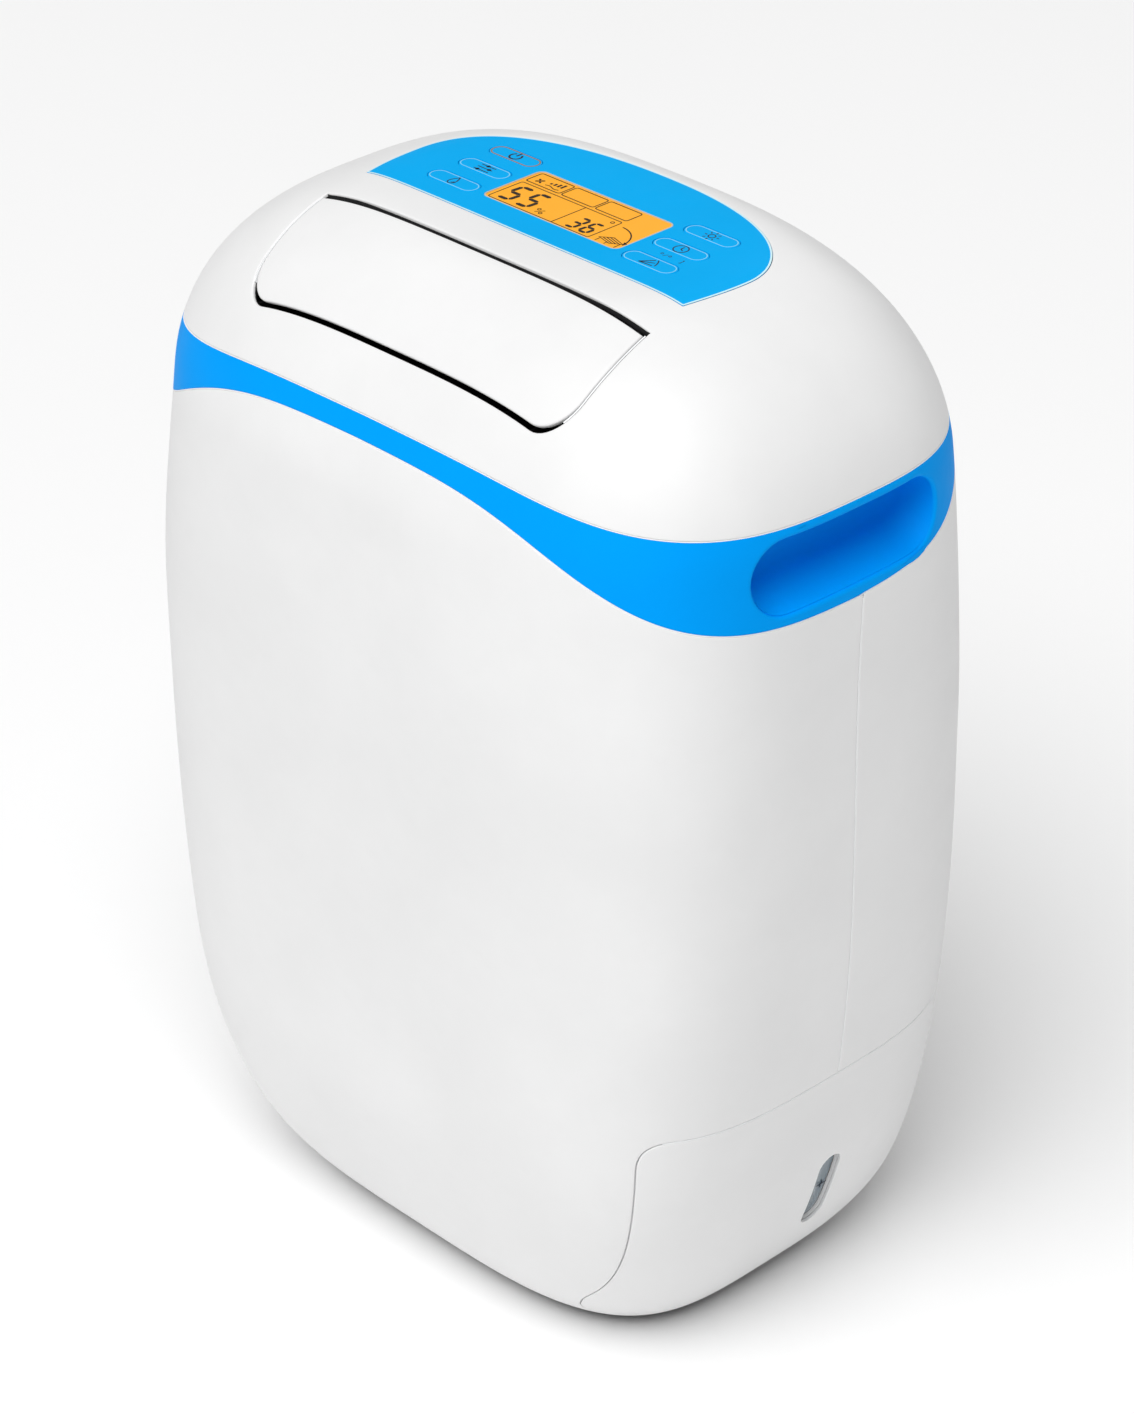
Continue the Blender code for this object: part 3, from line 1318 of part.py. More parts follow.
def fan_wheel():
    """A squirrel-cage wheel: hub and back plate, blades, and the ring round its mouth."""
    blades = 13
    sectors = 2 * blades
    radii = (0.0034, 0.0100, 0.0600, WHEEL_RADIUS)
    back = FAN_Y[0] + 0.0060
    mouth = FAN_Y[1] - 0.0060
    alongs = (back, back + 0.002, back + 0.016, mouth - 0.003, mouth)
    turns = list(range(sectors + 1))

    def filled(i, j, k):
        if j == 0:
            return True
        if i == 0:
            return j == 1
        if i == 2:
            return k % 2 == 0 or j == 3
        return False

    points = []
    index = {}
    faces = []

    def corner(i, j, k):
        k = k % sectors
        if (i, j, k) not in index:
            index[(i, j, k)] = len(points)
            turn = 2 * math.pi * (k + (0.62 if k % 2 else 0.0) - (k % 2)) / sectors + (0.16 if i == 3 else 0.0)
            points.append((FAN_X + radii[i] * math.cos(turn), alongs[j], FAN_Z + radii[i] * math.sin(turn)))
        return index[(i, j, k)]

    def full(i, j, k):
        return 0 <= i < 3 and 0 <= j < 4 and filled(i, j, k % sectors)

    sides = (
        ((-1, 0, 0), ((0, 0, 0), (0, 0, 1), (0, 1, 1), (0, 1, 0))),
        ((1, 0, 0), ((1, 0, 0), (1, 1, 0), (1, 1, 1), (1, 0, 1))),
        ((0, -1, 0), ((0, 0, 0), (1, 0, 0), (1, 0, 1), (0, 0, 1))),
        ((0, 1, 0), ((0, 1, 0), (0, 1, 1), (1, 1, 1), (1, 1, 0))),
        ((0, 0, -1), ((0, 0, 0), (0, 1, 0), (1, 1, 0), (1, 0, 0))),
        ((0, 0, 1), ((0, 0, 1), (1, 0, 1), (1, 1, 1), (0, 1, 1))),
    )
    for i in range(3):
        for j in range(4):
            for k in turns[:-1]:
                if full(i, j, k):
                    for (di, dj, dk), ring in sides:
                        if not full(i + di, j + dj, k + dk):
                            faces.append(tuple(corner(i + a, j + b, k + c) for a, b, c in ring))
    hub = (FAN_X, (back + mouth) / 2, FAN_Z)
    return new_object("fan_wheel", points, faces, ((0.15, 0.15, 0.16), 0.5), hub)


def electronics():
    low = (0.004, -0.100, 0.1425)
    high = (0.112, -0.056, 0.1800)
    wall = 0.0018
    xs = (low[0], low[0] + wall, high[0] - wall, high[0])
    ys = (low[1], low[1] + wall, high[1] - wall, high[1])
    zs = (low[2], low[2] + wall, high[2])

    def filled(i, j, k):
        return k == 0 or i != 1 or j != 1

    new_object("electronics_box", *cells(xs, ys, zs, filled), ((0.15, 0.15, 0.16), 0.6))
    box("main_board", (0.010, -0.0950, 0.1500), (0.106, -0.0610, 0.1516), (BOARD, 0.5))
    capacitor = ((0, 0.0), (0.0140, 0.0), (0.0150, 0.001), (0.0150, 0.044), (0, 0.045))
    new_object("run_capacitor", *lathe(capacitor, (0.133, -0.030, 0.1400), "Z", 16), (ALUMINIUM, 0.3, 0.9))
    motor = ((0, -0.009), (0.0095, -0.009), (0.0100, -0.008), (0.0100, 0.008), (0.0095, 0.009), (0, 0.009))
    new_object("flap_motor", *lathe(motor, (0.060, -0.0250, 0.4520), "X", 16), (STEEL, 0.4, 0.7))


# ---------------------------------------------------------------- assembly
def main():
    clear()
    base_tray()
    feet()
    split = SEAM / 2 / HALF_WIDTH
    half_cover("front_cover", -math.pi + split, -split, False, (WHITE, 0.38))
    rear_cover()
    handle_band()
    top_cover()
    tank_bay()
    tank_cover()
    tank_window()
    water_tank()
    tank_lid()
    tank_float()
    tank_switch()
    outlet_flap()
    flap_shaft()
    air_duct()
    outlet_vanes()
    control_panel()
    buttons()
    display()
    rear_grille()
    filter_parts()
    case_screws()
    cord_gland()
    drain_fittings()
    compressor_parts()
    coil("evaporator", EVAPORATOR_Y, (ALUMINIUM, 0.4, 0.9))
    coil("condenser", CONDENSER_Y, (ALUMINIUM, 0.4, 0.9))
    pipes()
    drip_tray()
    fan_parts()
    electronics()


main()
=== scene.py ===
"""The looks of a dehumidifier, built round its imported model.

Metres, in the model's own frame: +Z up, the front faces -Y, +X is the right-hand side.
"""

import math

import bmesh
import bpy
import numpy as np
from mathutils import Matrix, Vector
from mathutils.geometry import delaunay_2d_cdt
from mathutils.kdtree import KDTree


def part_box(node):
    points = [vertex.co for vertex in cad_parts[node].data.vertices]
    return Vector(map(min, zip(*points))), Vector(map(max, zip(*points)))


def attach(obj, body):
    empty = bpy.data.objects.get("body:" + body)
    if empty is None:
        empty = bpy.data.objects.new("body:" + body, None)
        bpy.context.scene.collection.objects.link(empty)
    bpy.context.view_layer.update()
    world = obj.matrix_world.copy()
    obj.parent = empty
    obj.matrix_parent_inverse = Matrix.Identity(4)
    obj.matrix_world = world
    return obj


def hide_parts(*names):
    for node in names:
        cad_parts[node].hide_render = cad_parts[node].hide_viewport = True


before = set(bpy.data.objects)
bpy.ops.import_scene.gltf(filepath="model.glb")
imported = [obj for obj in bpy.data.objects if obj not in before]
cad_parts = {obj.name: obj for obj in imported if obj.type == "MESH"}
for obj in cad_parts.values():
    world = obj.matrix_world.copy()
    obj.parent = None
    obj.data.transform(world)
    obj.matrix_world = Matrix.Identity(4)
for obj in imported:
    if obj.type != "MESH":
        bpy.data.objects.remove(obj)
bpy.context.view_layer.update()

# ---------------------------------------------------------------- the body's surface
DOME_APEX = 0.480
TOP_LEVEL = 0.4738
TOP_BLEND = 0.0012
WAIST = 0.240
HALF_WIDTH = 0.1722
HALF_DEPTH = 0.1212
BODY_BOTTOM = 0.0043
SPREAD = 0.165  # metres of chart to a radian round the body

# seams, as they are seen
BAND_GAP = 0.00045
SPLIT_GAP = 0.00045
TANK_GAP = 0.00052
SHELL_WALL = 0.0014
CUP_WALL = 0.0012
ROLL = 0.00045  # radius of a moulded edge
CORNER_REACH = 0.010  # how far from a corner the rows of an edge are drawn along it

TANK_SEAM_Z = 0.1345
TANK_FLOOR_Z = 0.0168
SEAM_ANGLE = math.radians(33.9)
SEAM_FLARE = math.radians(7.6)
SEAM_BEND_Z = 0.030
SEAM_FADE = 0.0215
SEAM_BEND = 0.0025
SLOT_Y = 0.0085
SLOT_Z = (0.040, 0.082)
SLOT_HALF = 0.0065

HANDLE_Y = -0.0025
HANDLE_Z = 0.3875
HANDLE_LENGTH = 0.104
HANDLE_HEIGHT = 0.0330
HANDLE_DEPTH = 0.026

FLAP_REAR_Y = -0.0432
FLAP_FRONT_Y = -0.0896
FLAP_HALF_REAR = 0.0940
FLAP_HALF_FRONT = 0.0925
FLAP_CORNER = 0.014
HINGE = (0.0, -0.0452, 0.4676)
LUG_X = 0.0400

PANEL_HALF = 0.0962
PANEL_MIDDLE = 0.0125
PANEL_ARCH = 0.0495
PANEL_POWER = 2.2
PANEL_TAPER = 0.122
PANEL_FRONT = -0.0200
PANEL_TOP = 0.4736
LCD_LOW = (-0.0396, -0.0048)
LCD_HIGH = (0.0396, 0.0301)
BUTTON_HALF = 0.0140
BUTTON_WIDE = 0.0098

GRILLE_HALF = 0.1080
GRILLE_Z = (0.1680, 0.3720)
GRILLE_SLATS = 11

SLIVER = 2e-10  # chart area under which a triangle is only rounding
ALONG_X = np.array((1.0, 0.0, 0.0))
ALONG_Y = np.array((0.0, 1.0, 0.0))
UP = np.array((0.0, 0.0, 1.0))


def unit(v):
    return v / np.maximum(np.linalg.norm(v, axis=-1, keepdims=True), 1e-12)


def ease(t):
    t = np.clip(t, 0.0, 1.0)
    return t * t * (3.0 - 2.0 * t)


def flank(z, widest, foot, low_end, low_power, high_start, high_power, high_root):
    """A half size at height z: it swells from the foot to low_end and draws in from high_start."""
    low = np.maximum(1.0 - z / low_end, 0.0)
    size = foot + (widest - foot) * (1.0 - low**low_power) ** (1.0 / low_power)
    high = np.clip((z - high_start) / (DOME_APEX - high_start), 0.0, 1.0)
    return size * (1.0 - high**high_power) ** (1.0 / high_root)


def section(z):
    """Half width, front and rear half depth, their corner powers, and the section's centre in Y."""
    below = np.maximum(WAIST - z, 0.0) / WAIST
    above = np.maximum(z - WAIST, 0.0) / WAIST
    widest = HALF_WIDTH * (1.0 - 0.023 * below**2 - 0.026 * above**2)
    side = flank(z, widest, 0.0996, 0.2394, 2.26, 0.3966, 2.00, 3.11)
    front = flank(z, HALF_DEPTH, 0.0639, 0.1200, 2.02, 0.3890, 1.82, 2.58)
    rear = flank(z, HALF_DEPTH, 0.0698, 0.0363, 2.02, 0.2724, 2.22, 3.53)
    crown = ease((z - 0.28) / 0.13)
    centre = 0.0094 * ease((z - 0.30) / (DOME_APEX - 0.30))
    return side, front, rear, 3.67 - 0.52 * crown, 3.14 - 0.26 * crown, centre


def flatten(z):
    return TOP_LEVEL - TOP_BLEND * np.log1p(np.exp((TOP_LEVEL - z) / TOP_BLEND))


def surface(angle, z):
    """Points of the body at polar angles, 0 at +X and -90 degrees at the front."""
    angle, z = np.broadcast_arrays(np.asarray(angle, float), np.asarray(z, float))
    side, front, rear, n_front, n_rear, centre = section(z)
    c = np.cos(angle)
    s = np.sin(angle)
    depth = np.where(s < 0, front, rear)
    n = np.where(s < 0, n_front, n_rear)
    radius = ((np.abs(c) / side) ** n + (np.abs(s) / depth) ** n) ** (-1.0 / n)
    return np.stack((radius * c, radius * s + centre, flatten(z)), -1)


def surface_normal(angle, z):
    step = 1e-3
    low = np.clip(z - 2e-4, 1e-5, DOME_APEX - 6e-4)
    high = np.clip(z + 2e-4, 1e-5, DOME_APEX - 2e-4)
    along = surface(angle + step, z) - surface(angle - step, z)
    up = surface(angle, high) - surface(angle, low)
    return unit(np.cross(along, up))


def locate(x, y):
    """Polar angle and raw height of the crown's surface over points of the plan."""
    low = np.full(np.shape(x), 0.25)
    high = np.full(np.shape(x), DOME_APEX - 1e-6)
    for _ in range(34):
        middle = (low + high) / 2
        side, front, rear, n_front, n_rear, centre = section(middle)
        across = y - centre
        depth = np.where(across < 0, front, rear)
        n = np.where(across < 0, n_front, n_rear)
        within = (np.abs(x) / side) ** n + (np.abs(across) / depth) ** n < 1.0
        low = np.where(within, middle, low)
        high = np.where(within, high, middle)
    return np.arctan2(y - section(low)[5], x), low


def rear_y(x, z):
    side, _, rear, _, n, centre = section(z)
    return centre + rear * (1.0 - (np.abs(x) / side) ** n) ** (1.0 / n)


def side_x(y, z):
    side, front, rear, n_front, n_rear, centre = section(z)
    depth = np.where(y < centre, front, rear)
    n = np.where(y < centre, n_front, n_rear)
    return side * (1.0 - (np.abs(y - centre) / depth) ** n) ** (1.0 / n)


def band_edge(angle, base, rise, middle, width):
    turn = np.abs(np.degrees(np.arctan2(np.sin(angle), np.abs(np.cos(angle)))))
    return base + rise * (0.5 + 0.5 * np.tanh((turn - middle) / width))


def band_low(angle):
    """Lower edge of the coloured band: level at the front and rear, deeper at the sides."""
    front = np.sin(angle) < 0
    return band_edge(angle, 0.3650, 0.0485, np.where(front, 41.0, 27.5), np.where(front, 16.0, 13.3))


def band_high(angle):
    return band_edge(angle, 0.4080, 0.0144, 44.2, 16.5)


def seam_angle(z):
    """Polar angle of the tank cover's upright seams, which flare out at the foot."""
    above = SEAM_BEND * np.log1p(np.exp((z - SEAM_BEND_Z) / SEAM_BEND))
    return SEAM_ANGLE + SEAM_FLARE * np.exp(-above / SEAM_FADE)


def around(count):
    """Polar angles round the body, closer together where the plan turns."""
    dense = np.linspace(-math.pi, math.pi, 2881)
    points = surface(dense, WAIST)[:, :2]
    steps = np.diff(points, axis=0)
    length = np.linalg.norm(steps, axis=1)
    bearing = np.unwrap(np.arctan2(steps[:, 1], steps[:, 0]))
    turn = np.abs(np.diff(bearing, append=bearing[-1]))
    travelled = np.concatenate(([0.0], np.cumsum(length / length.sum() + turn / (2 * math.pi))))
    return np.interp(np.linspace(0.0, travelled[-1], count + 1)[:-1], travelled, dense)


HEIGHTS = np.concatenate((np.linspace(0.0005, 0.46, 1200), np.linspace(0.4601, DOME_APEX - 1e-5, 800)))
MERIDIANS = [surface(math.radians(a), HEIGHTS) for a in (-90, -45, 0, 45, 90)]
STEPS = np.mean([np.linalg.norm(np.diff(m, axis=0), axis=1) for m in MERIDIANS], axis=0)
TRAVEL = np.concatenate(([0.0], np.cumsum(STEPS)))  # distance up the body's wall at each of HEIGHTS


# ---------------------------------------------------------------- charts: flat maps of the surface
def side_chart(q):
    """The wall unrolled: round the body, and the distance up it."""
    angle = q[:, 0] / SPREAD
    z = np.interp(q[:, 1], TRAVEL, HEIGHTS)
    return surface(angle, z), surface_normal(angle, z)


def on_side(angle, z):
    angle, z = np.broadcast_arrays(angle, z)
    return np.stack((angle * SPREAD, np.interp(z, HEIGHTS, TRAVEL)), -1)


def crown_chart(q):
    """The crown pressed flat: the distance down from the apex, and the polar angle."""
    angle = np.arctan2(q[:, 1], q[:, 0])
    z = np.interp(TRAVEL[-1] - np.hypot(q[:, 0], q[:, 1]), TRAVEL, HEIGHTS)
    return surface(angle, z), surface_normal(angle, z)


def on_crown(angle, z):
    reach = TRAVEL[-1] - np.interp(z, HEIGHTS, TRAVEL)
    return np.stack((reach * np.cos(angle), reach * np.sin(angle)), -1)


def plan_chart(q):
    """The crown seen from above."""
    step = 4e-4
    heights = [flatten(locate(q[:, 0] + a, q[:, 1] + b)[1])
               for a, b in ((0, 0), (step, 0), (-step, 0), (0, step), (0, -step))]
    point = np.column_stack((q, heights[0]))
    slope = np.column_stack((heights[2] - heights[1], heights[4] - heights[3], np.full(len(q), 2 * step)))
    return point, unit(slope)


def level_chart(level):
    """A flat plate at a height."""
    def chart(q):
        return np.column_stack((q, np.full(len(q), level))), np.tile((0.0, 0.0, 1.0), (len(q), 1))
    return chart


# ---------------------------------------------------------------- mesh helpers
def build(name, points, faces, finish, body, nodes=(), slot=None, sharp=38.0, weld=2e-7):
    """A piece from points and faces, riding on a body and standing for CAD nodes."""
    mesh = bpy.data.meshes.new(name)
    mesh.from_pydata([tuple(map(float, p)) for p in points], [], [tuple(map(int, f)) for f in faces])
    work = bmesh.new()
    work.from_mesh(mesh)
    bmesh.ops.remove_doubles(work, verts=work.verts, dist=weld)
    bmesh.ops.recalc_face_normals(work, faces=work.faces)
    work.to_mesh(mesh)
    work.free()
    mesh.shade_smooth()
    mesh.set_sharp_from_angle(angle=math.radians(sharp))
    mesh.materials.append(finish)
    made = bpy.data.objects.new(name, mesh)
    bpy.context.scene.collection.objects.link(made)
    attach(made, body)
    if nodes:
        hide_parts(*nodes)
    return made


def strip(a, b):
    """Quads between two closed rings of point numbers."""
    n = len(a)
    return [(a[i], a[(i + 1) % n], b[(i + 1) % n], b[i]) for i in range(n)]


def ring_numbers(count, rows):
    """The point numbers of rings that follow one another, each of count points."""
    return [list(range(k * count, (k + 1) * count)) for k in range(rows)]


def stack(count, rows, closed=False):
    """Quads between rings that follow one another; a closed stack joins the last to the first."""
    rings = ring_numbers(count, rows)
    above = rings[1:] + rings[:1] if closed else rings[1:]
    return [face for a, b in zip(rings, above) for face in strip(a, b)]


def heading(line):
    """The way along a closed line at each of its points."""
    return unit(np.roll(line, -1, 0) - np.roll(line, 1, 0))


def wind(loop, anticlockwise=True):
    x, y = loop[:, 0], loop[:, 1]
    area = np.sum(x * np.roll(y, -1) - y * np.roll(x, -1))
    return loop if (area > 0) == anticlockwise else loop[::-1]


def whole_turn(steps):
    """Angles that divide a full turn."""
    return np.linspace(0, 2 * math.pi, steps + 1)[:-1]


def clockwise(loop):
    """The order that a loop's points take when it runs clockwise."""
    return slice(None) if np.allclose(wind(loop, False)[0], loop[0]) else slice(None, None, -1)


def within(points, loops):
    """Which points lie inside the first loop and outside the others."""
    odd = np.zeros(len(points), bool)
    for loop in loops:
        after = np.roll(loop, -1, 0)
        for (x0, y0), (x1, y1) in zip(loop, after):
            if y0 == y1:
                continue
            crosses = (y0 > points[:, 1]) != (y1 > points[:, 1])
            odd ^= crosses & (points[:, 0] < (x1 - x0) * (points[:, 1] - y0) / (y1 - y0) + x0)
    return odd


def inward(loop, chart):
    """Chart steps that lead one metre into the patch from each point of a loop.

    They stand square to the edge, and next to a corner they also lead away from it, so that rows of
    points drawn in from the edge don't cross.
    """
    step = 1e-5
    point, normal = chart(loop)
    du = (chart(loop + (step, 0))[0] - point) / step
    dv = (chart(loop + (0, step))[0] - point) / step
    ahead = unit(np.roll(point, -1, 0) - point)
    back = unit(point - np.roll(point, 1, 0))
    first = np.cross(normal, ahead)
    second = np.cross(normal, back)
    share = 1.0 + np.sum(first * second, 1, keepdims=True)
    mitre = (first + second) / np.maximum(share, 0.55)
    gaps = np.linalg.norm(np.roll(point, -1, 0) - point, axis=1)
    slide = np.zeros_like(mitre)
    for i in np.nonzero(share[:, 0] < 1.8)[0]:
        for way, tangent in ((1, ahead), (-1, back)):
            pull = way * np.dot(mitre[i], tangent[i])
            travelled = gaps[i] if way > 0 else gaps[i - 1]
            j = (i + way) % len(loop)
            while pull > 0 and travelled < CORNER_REACH:
                slide[j] += way * tangent[j] * pull * (1 - travelled / CORNER_REACH)
                travelled += gaps[j] if way > 0 else gaps[j - 1]
                j = (j + way) % len(loop)
    mitre = mitre + slide
    a = np.sum(du * du, 1)
    b = np.sum(du * dv, 1)
    c = np.sum(dv * dv, 1)
    p = np.sum(du * mitre, 1)
    q = np.sum(dv * mitre, 1)
    size = a * c - b * b
    return np.column_stack(((c * p - b * q) / size, (a * q - b * p) / size))


def fill(rows, lattice):
    """Triangles between the innermost rows, through the lattice. Returns points, faces and row numbers."""
    points = np.vstack([*rows, lattice]) if len(lattice) else np.vstack(rows)
    edges = []
    start = 0
    for row in rows:
        edges += [(start + i, start + (i + 1) % len(row)) for i in range(len(row))]
        start += len(row)
    made, _, faces, origin, _, _ = delaunay_2d_cdt([Vector(p) for p in points], edges, [], 0, 1e-9)
    made = np.array([tuple(p) for p in made])
    place = {source: k for k, sources in enumerate(origin) for source in sources}
    faces = np.array([tuple(f) for f in faces])
    a, b, c = (made[faces[:, k]] for k in range(3))
    area = np.abs((b - a)[:, 0] * (c - a)[:, 1] - (b - a)[:, 1] * (c - a)[:, 0]) / 2
    faces = faces[(area > SLIVER) & within((a + b + c) / 3, rows)]
    return made, faces, [place[i] for i in range(start)]


def shell(name, loops, chart, lattice, finish, body, nodes=(), slot=None, wall=SHELL_WALL,
          roll=ROLL, graded=(0.0011, 0.0030), cups=None, rolls=None):
    """A closed shell over a chart: its edges are rolled over, and its holes may run into cups.

    cups gives, for a loop's number, the rings of points that follow its outer and its inner edge.
    rolls gives the edge radius of a loop where it isn't roll.
    """
    cups = cups or {}
    rolls = rolls or {}
    loops = [wind(np.asarray(loop), i == 0) for i, loop in enumerate(loops)]
    turns = np.radians((0.0, 22.5, 45.0, 67.5, 90.0))
    points = []
    faces = []

    def add(place):
        start = len(points)
        points.extend(place)
        return list(range(start, start + len(place)))

    innermost = []
    outer_rings = []
    edge_rings = []
    fence = []
    for k, loop in enumerate(loops):
        into = inward(loop, chart)
        radius = rolls.get(k, roll)
        steps = [(radius * (1 - math.cos(t)), radius * (1 - math.sin(t))) for t in turns]
        steps += [(radius + g, 0.0) for g in graded]
        rings = []
        for distance, depth in steps:
            row = loop + into * distance
            point, normal = chart(row)
            rings.append(add(point - normal * depth))
        innermost.append(row)
        fence.append(point)
        for a, b in zip(rings, rings[1:]):
            faces += strip(a, b)
        outer_rings.append(rings[-1])
        point, normal = chart(loop + into * CUP_WALL if k in cups else loop)
        edge_rings.append((rings[0], add(point - normal * wall)))
    if len(lattice):
        lattice = np.asarray(lattice)
        fence = np.vstack(fence)
        tree = KDTree(len(fence))
        for i, p in enumerate(fence):
            tree.insert(p, i)
        tree.balance()
        lattice = lattice[within(lattice, innermost)]
        clearance = 0.0012 + graded[-1] * 0.4
        near = np.array([tree.find(p)[2] for p in chart(lattice)[0]])
        lattice = lattice[near > clearance]
    made, triangles, numbers = fill(innermost, lattice)
    point, normal = chart(made)
    row_numbers = [n for ring in outer_rings for n in ring]
    outer = dict(zip(numbers, row_numbers))
    inner = {}
    for k in range(len(made)):
        inner[k] = add([point[k] - normal[k] * wall])[0]
        if k not in outer:
            outer[k] = add([point[k]])[0]
    for a, b, c in triangles:
        faces.append((outer[a], outer[b], outer[c]))
        faces.append((inner[c], inner[b], inner[a]))
    start = 0
    for k, (edge, under) in enumerate(edge_rings):
        count = len(edge)
        last = [inner[n] for n in numbers[start:start + count]]
        start += count
        faces += strip(last, under)
        if k in cups:
            for ring, rows in ((edge, cups[k][0]), (under, cups[k][1])):
                for row in rows[:-1]:
                    ahead = add(row)
                    faces += strip(ring, ahead)
                    ring = ahead
                hub = add([rows[-1]])[0]
                faces += [(ring[i], ring[(i + 1) % count], hub) for i in range(count)]
        else:
            faces += strip(under, edge)
    return build(name, points, faces, finish, body, nodes, slot)


def sweep(stations, profile, closed=False):
    """A bar: each station is (origin, across, up), the profile's points are (across, up)."""
    points = []
    n = len(profile)
    for origin, across, up in stations:
        points += [origin + a * across + b * up for a, b in profile]
    count = len(stations)
    faces = []
    for i in range(count if closed else count - 1):
        k = (i + 1) % count
        faces += [(i * n + j, i * n + (j + 1) % n, k * n + (j + 1) % n, k * n + j) for j in range(n)]
    if not closed:
        faces.append(tuple(range(n - 1, -1, -1)))
        faces.append(tuple((count - 1) * n + j for j in range(n)))
    return points, faces


def bar(points, across, up, profile, closed=False):
    """A sweep whose profile keeps its directions."""
    across, up = np.array(across, float), np.array(up, float)
    return sweep([(np.array(p, float), across, up) for p in points], profile, closed)


def merge(parts):
    """Several meshes as one."""
    points = []
    faces = []
    for some_points, some_faces in parts:
        start = len(points)
        points += list(some_points)
        faces += [tuple(start + i for i in face) for face in some_faces]
    return points, faces


def lathe(profile, centre, axis="Z", steps=40):
    """A turned solid: profile is (radius, distance along the axis), from one end to the other."""
    points = []
    rings = []
    for radius, along in profile:
        ring = []
        for i in range(1 if radius == 0 else steps):
            turn = 2 * math.pi * i / steps
            u = radius * math.cos(turn)
            v = radius * math.sin(turn)
            ring.append(len(points))
            offset = {"Z": (u, v, along), "Y": (u, along, v), "X": (along, u, v)}[axis]
            points.append(np.add(centre, offset))
        rings.append(ring)
    faces = []
    for a, b in zip(rings, rings[1:]):
        for i in range(steps):
            j = (i + 1) % steps
            face = (a[i % len(a)], a[j % len(a)], b[j % len(b)], b[i % len(b)])
            corners = tuple(dict.fromkeys(face))
            if len(corners) > 2:
                faces.append(corners)
    if len(rings[0]) > 1:
        faces += strip(rings[-1], rings[0])
    return points, faces


def rounded_profile(half_a, half_b, corner, steps=3):
    """A rectangle with round corners, as a profile."""
    outline = []
    for sa, sb, start in ((1, 1, 0.0), (-1, 1, 0.5), (-1, -1, 1.0), (1, -1, 1.5)):
        for i in range(steps + 1):
            turn = (start + 0.5 * i / steps) * math.pi
            outline.append((sa * (half_a - corner) + corner * math.cos(turn),
                            sb * (half_b - corner) + corner * math.sin(turn)))
    return outline


def rounded_rectangle(low, high, corner, steps=6, spacing=0.004):
    """Outline of a rectangle with round corners, anticlockwise, its sides divided."""
    middle = ((low[0] + high[0]) / 2, (low[1] + high[1]) / 2)
    half = ((high[0] - low[0]) / 2, (high[1] - low[1]) / 2)
    corners = np.array(rounded_profile(*half, corner, steps)) + middle
    return divide(corners, spacing)


def divide(loop, spacing):
    """A closed outline with its long sides divided."""
    made = []
    for here, ahead in zip(loop, np.roll(loop, -1, 0)):
        parts = max(int(np.linalg.norm(ahead - here) / spacing), 1)
        made += [here + (ahead - here) * i / parts for i in range(parts)]
    return np.array(made)


def stadium(u, v, half_length, half_height, steps=10, spacing=0.004):
    """Outline with two straight sides and two round ends, anticlockwise."""
    outline = []
    for end in (1, -1):
        for i in range(steps + 1):
            turn = (-0.5 + i / steps) * math.pi + (0.0 if end > 0 else math.pi)
            outline.append((u + end * (half_length - half_height) + half_height * math.cos(turn),
                            v + half_height * math.sin(turn)))
    return divide(np.array(outline), spacing)


# ---------------------------------------------------------------- materials
class Finish:
    """A node material with a Principled shader and a few helpers to wire it."""

    def __init__(self, name):
        self.material = bpy.data.materials.new(name)
        self.material.use_nodes = True
        self.nodes = self.material.node_tree.nodes
        self.links = self.material.node_tree.links
        self.shader = self.nodes["Principled BSDF"]
        self.place = self.nodes.new("ShaderNodeTexCoord").outputs["Object"]

    def set(self, **values):
        for key, value in values.items():
            self.shader.inputs[key.replace("_", " ")].default_value = value
        return self

    def wire(self, socket, value):
        if isinstance(value, bpy.types.NodeSocket):
            self.links.new(value, socket)
        else:
            socket.default_value = value

    def node(self, kind, **inputs):
        made = self.nodes.new(kind)
        for key, value in inputs.items():
            self.wire(made.inputs[key.replace("_", " ")], value)
        return made

    def noise(self, scale, detail=3.0, rough=0.5, vector=None):
        return self.node("ShaderNodeTexNoise", Vector=vector or self.place, Scale=scale, Detail=detail,
                         Roughness=rough).outputs["Fac"]

    def stretch(self, factors):
        return self.node("ShaderNodeMapping", Vector=self.place, Scale=factors).outputs["Vector"]

    def ramp(self, value, low, high, start=0.0, end=1.0):
        made = self.node("ShaderNodeMapRange", Value=value, From_Min=start, From_Max=end, To_Min=low,
                         To_Max=high)
        return made.outputs["Result"]

    def blend(self, factor, first, second):
        made = self.nodes.new("ShaderNodeMix")
        made.data_type = "RGBA"
        self.wire(made.inputs["Factor"], factor)
        colours = [s for s in made.inputs if s.type == "RGBA"]
        self.wire(colours[0], first)
        self.wire(colours[1], second)
        return [s for s in made.outputs if s.type == "RGBA"][0]

    def maths(self, kind, first, second=0.0):
        made = self.nodes.new("ShaderNodeMath")
        made.operation = kind
        self.wire(made.inputs[0], first)
        self.wire(made.inputs[1], second)
        return made.outputs[0]

    def feed(self, socket, value):
        self.links.new(value, self.shader.inputs[socket])

    def bump(self, height, strength, distance):
        made = self.node("ShaderNodeBump", Height=height, Strength=strength, Distance=distance)
        self.feed("Normal", made.outputs["Normal"])

    def edges(self):
        """Near 1 on outer edges."""
        pointy_edges = self.nodes.new("ShaderNodeNewGeometry").outputs["Pointiness"]
        return self.ramp(pointy_edges, 0.0, 1.0, 0.53, 0.62)


def colour(rgb, share=1.0):
    return (*(min(c * share, 1.0) for c in rgb), 1.0)


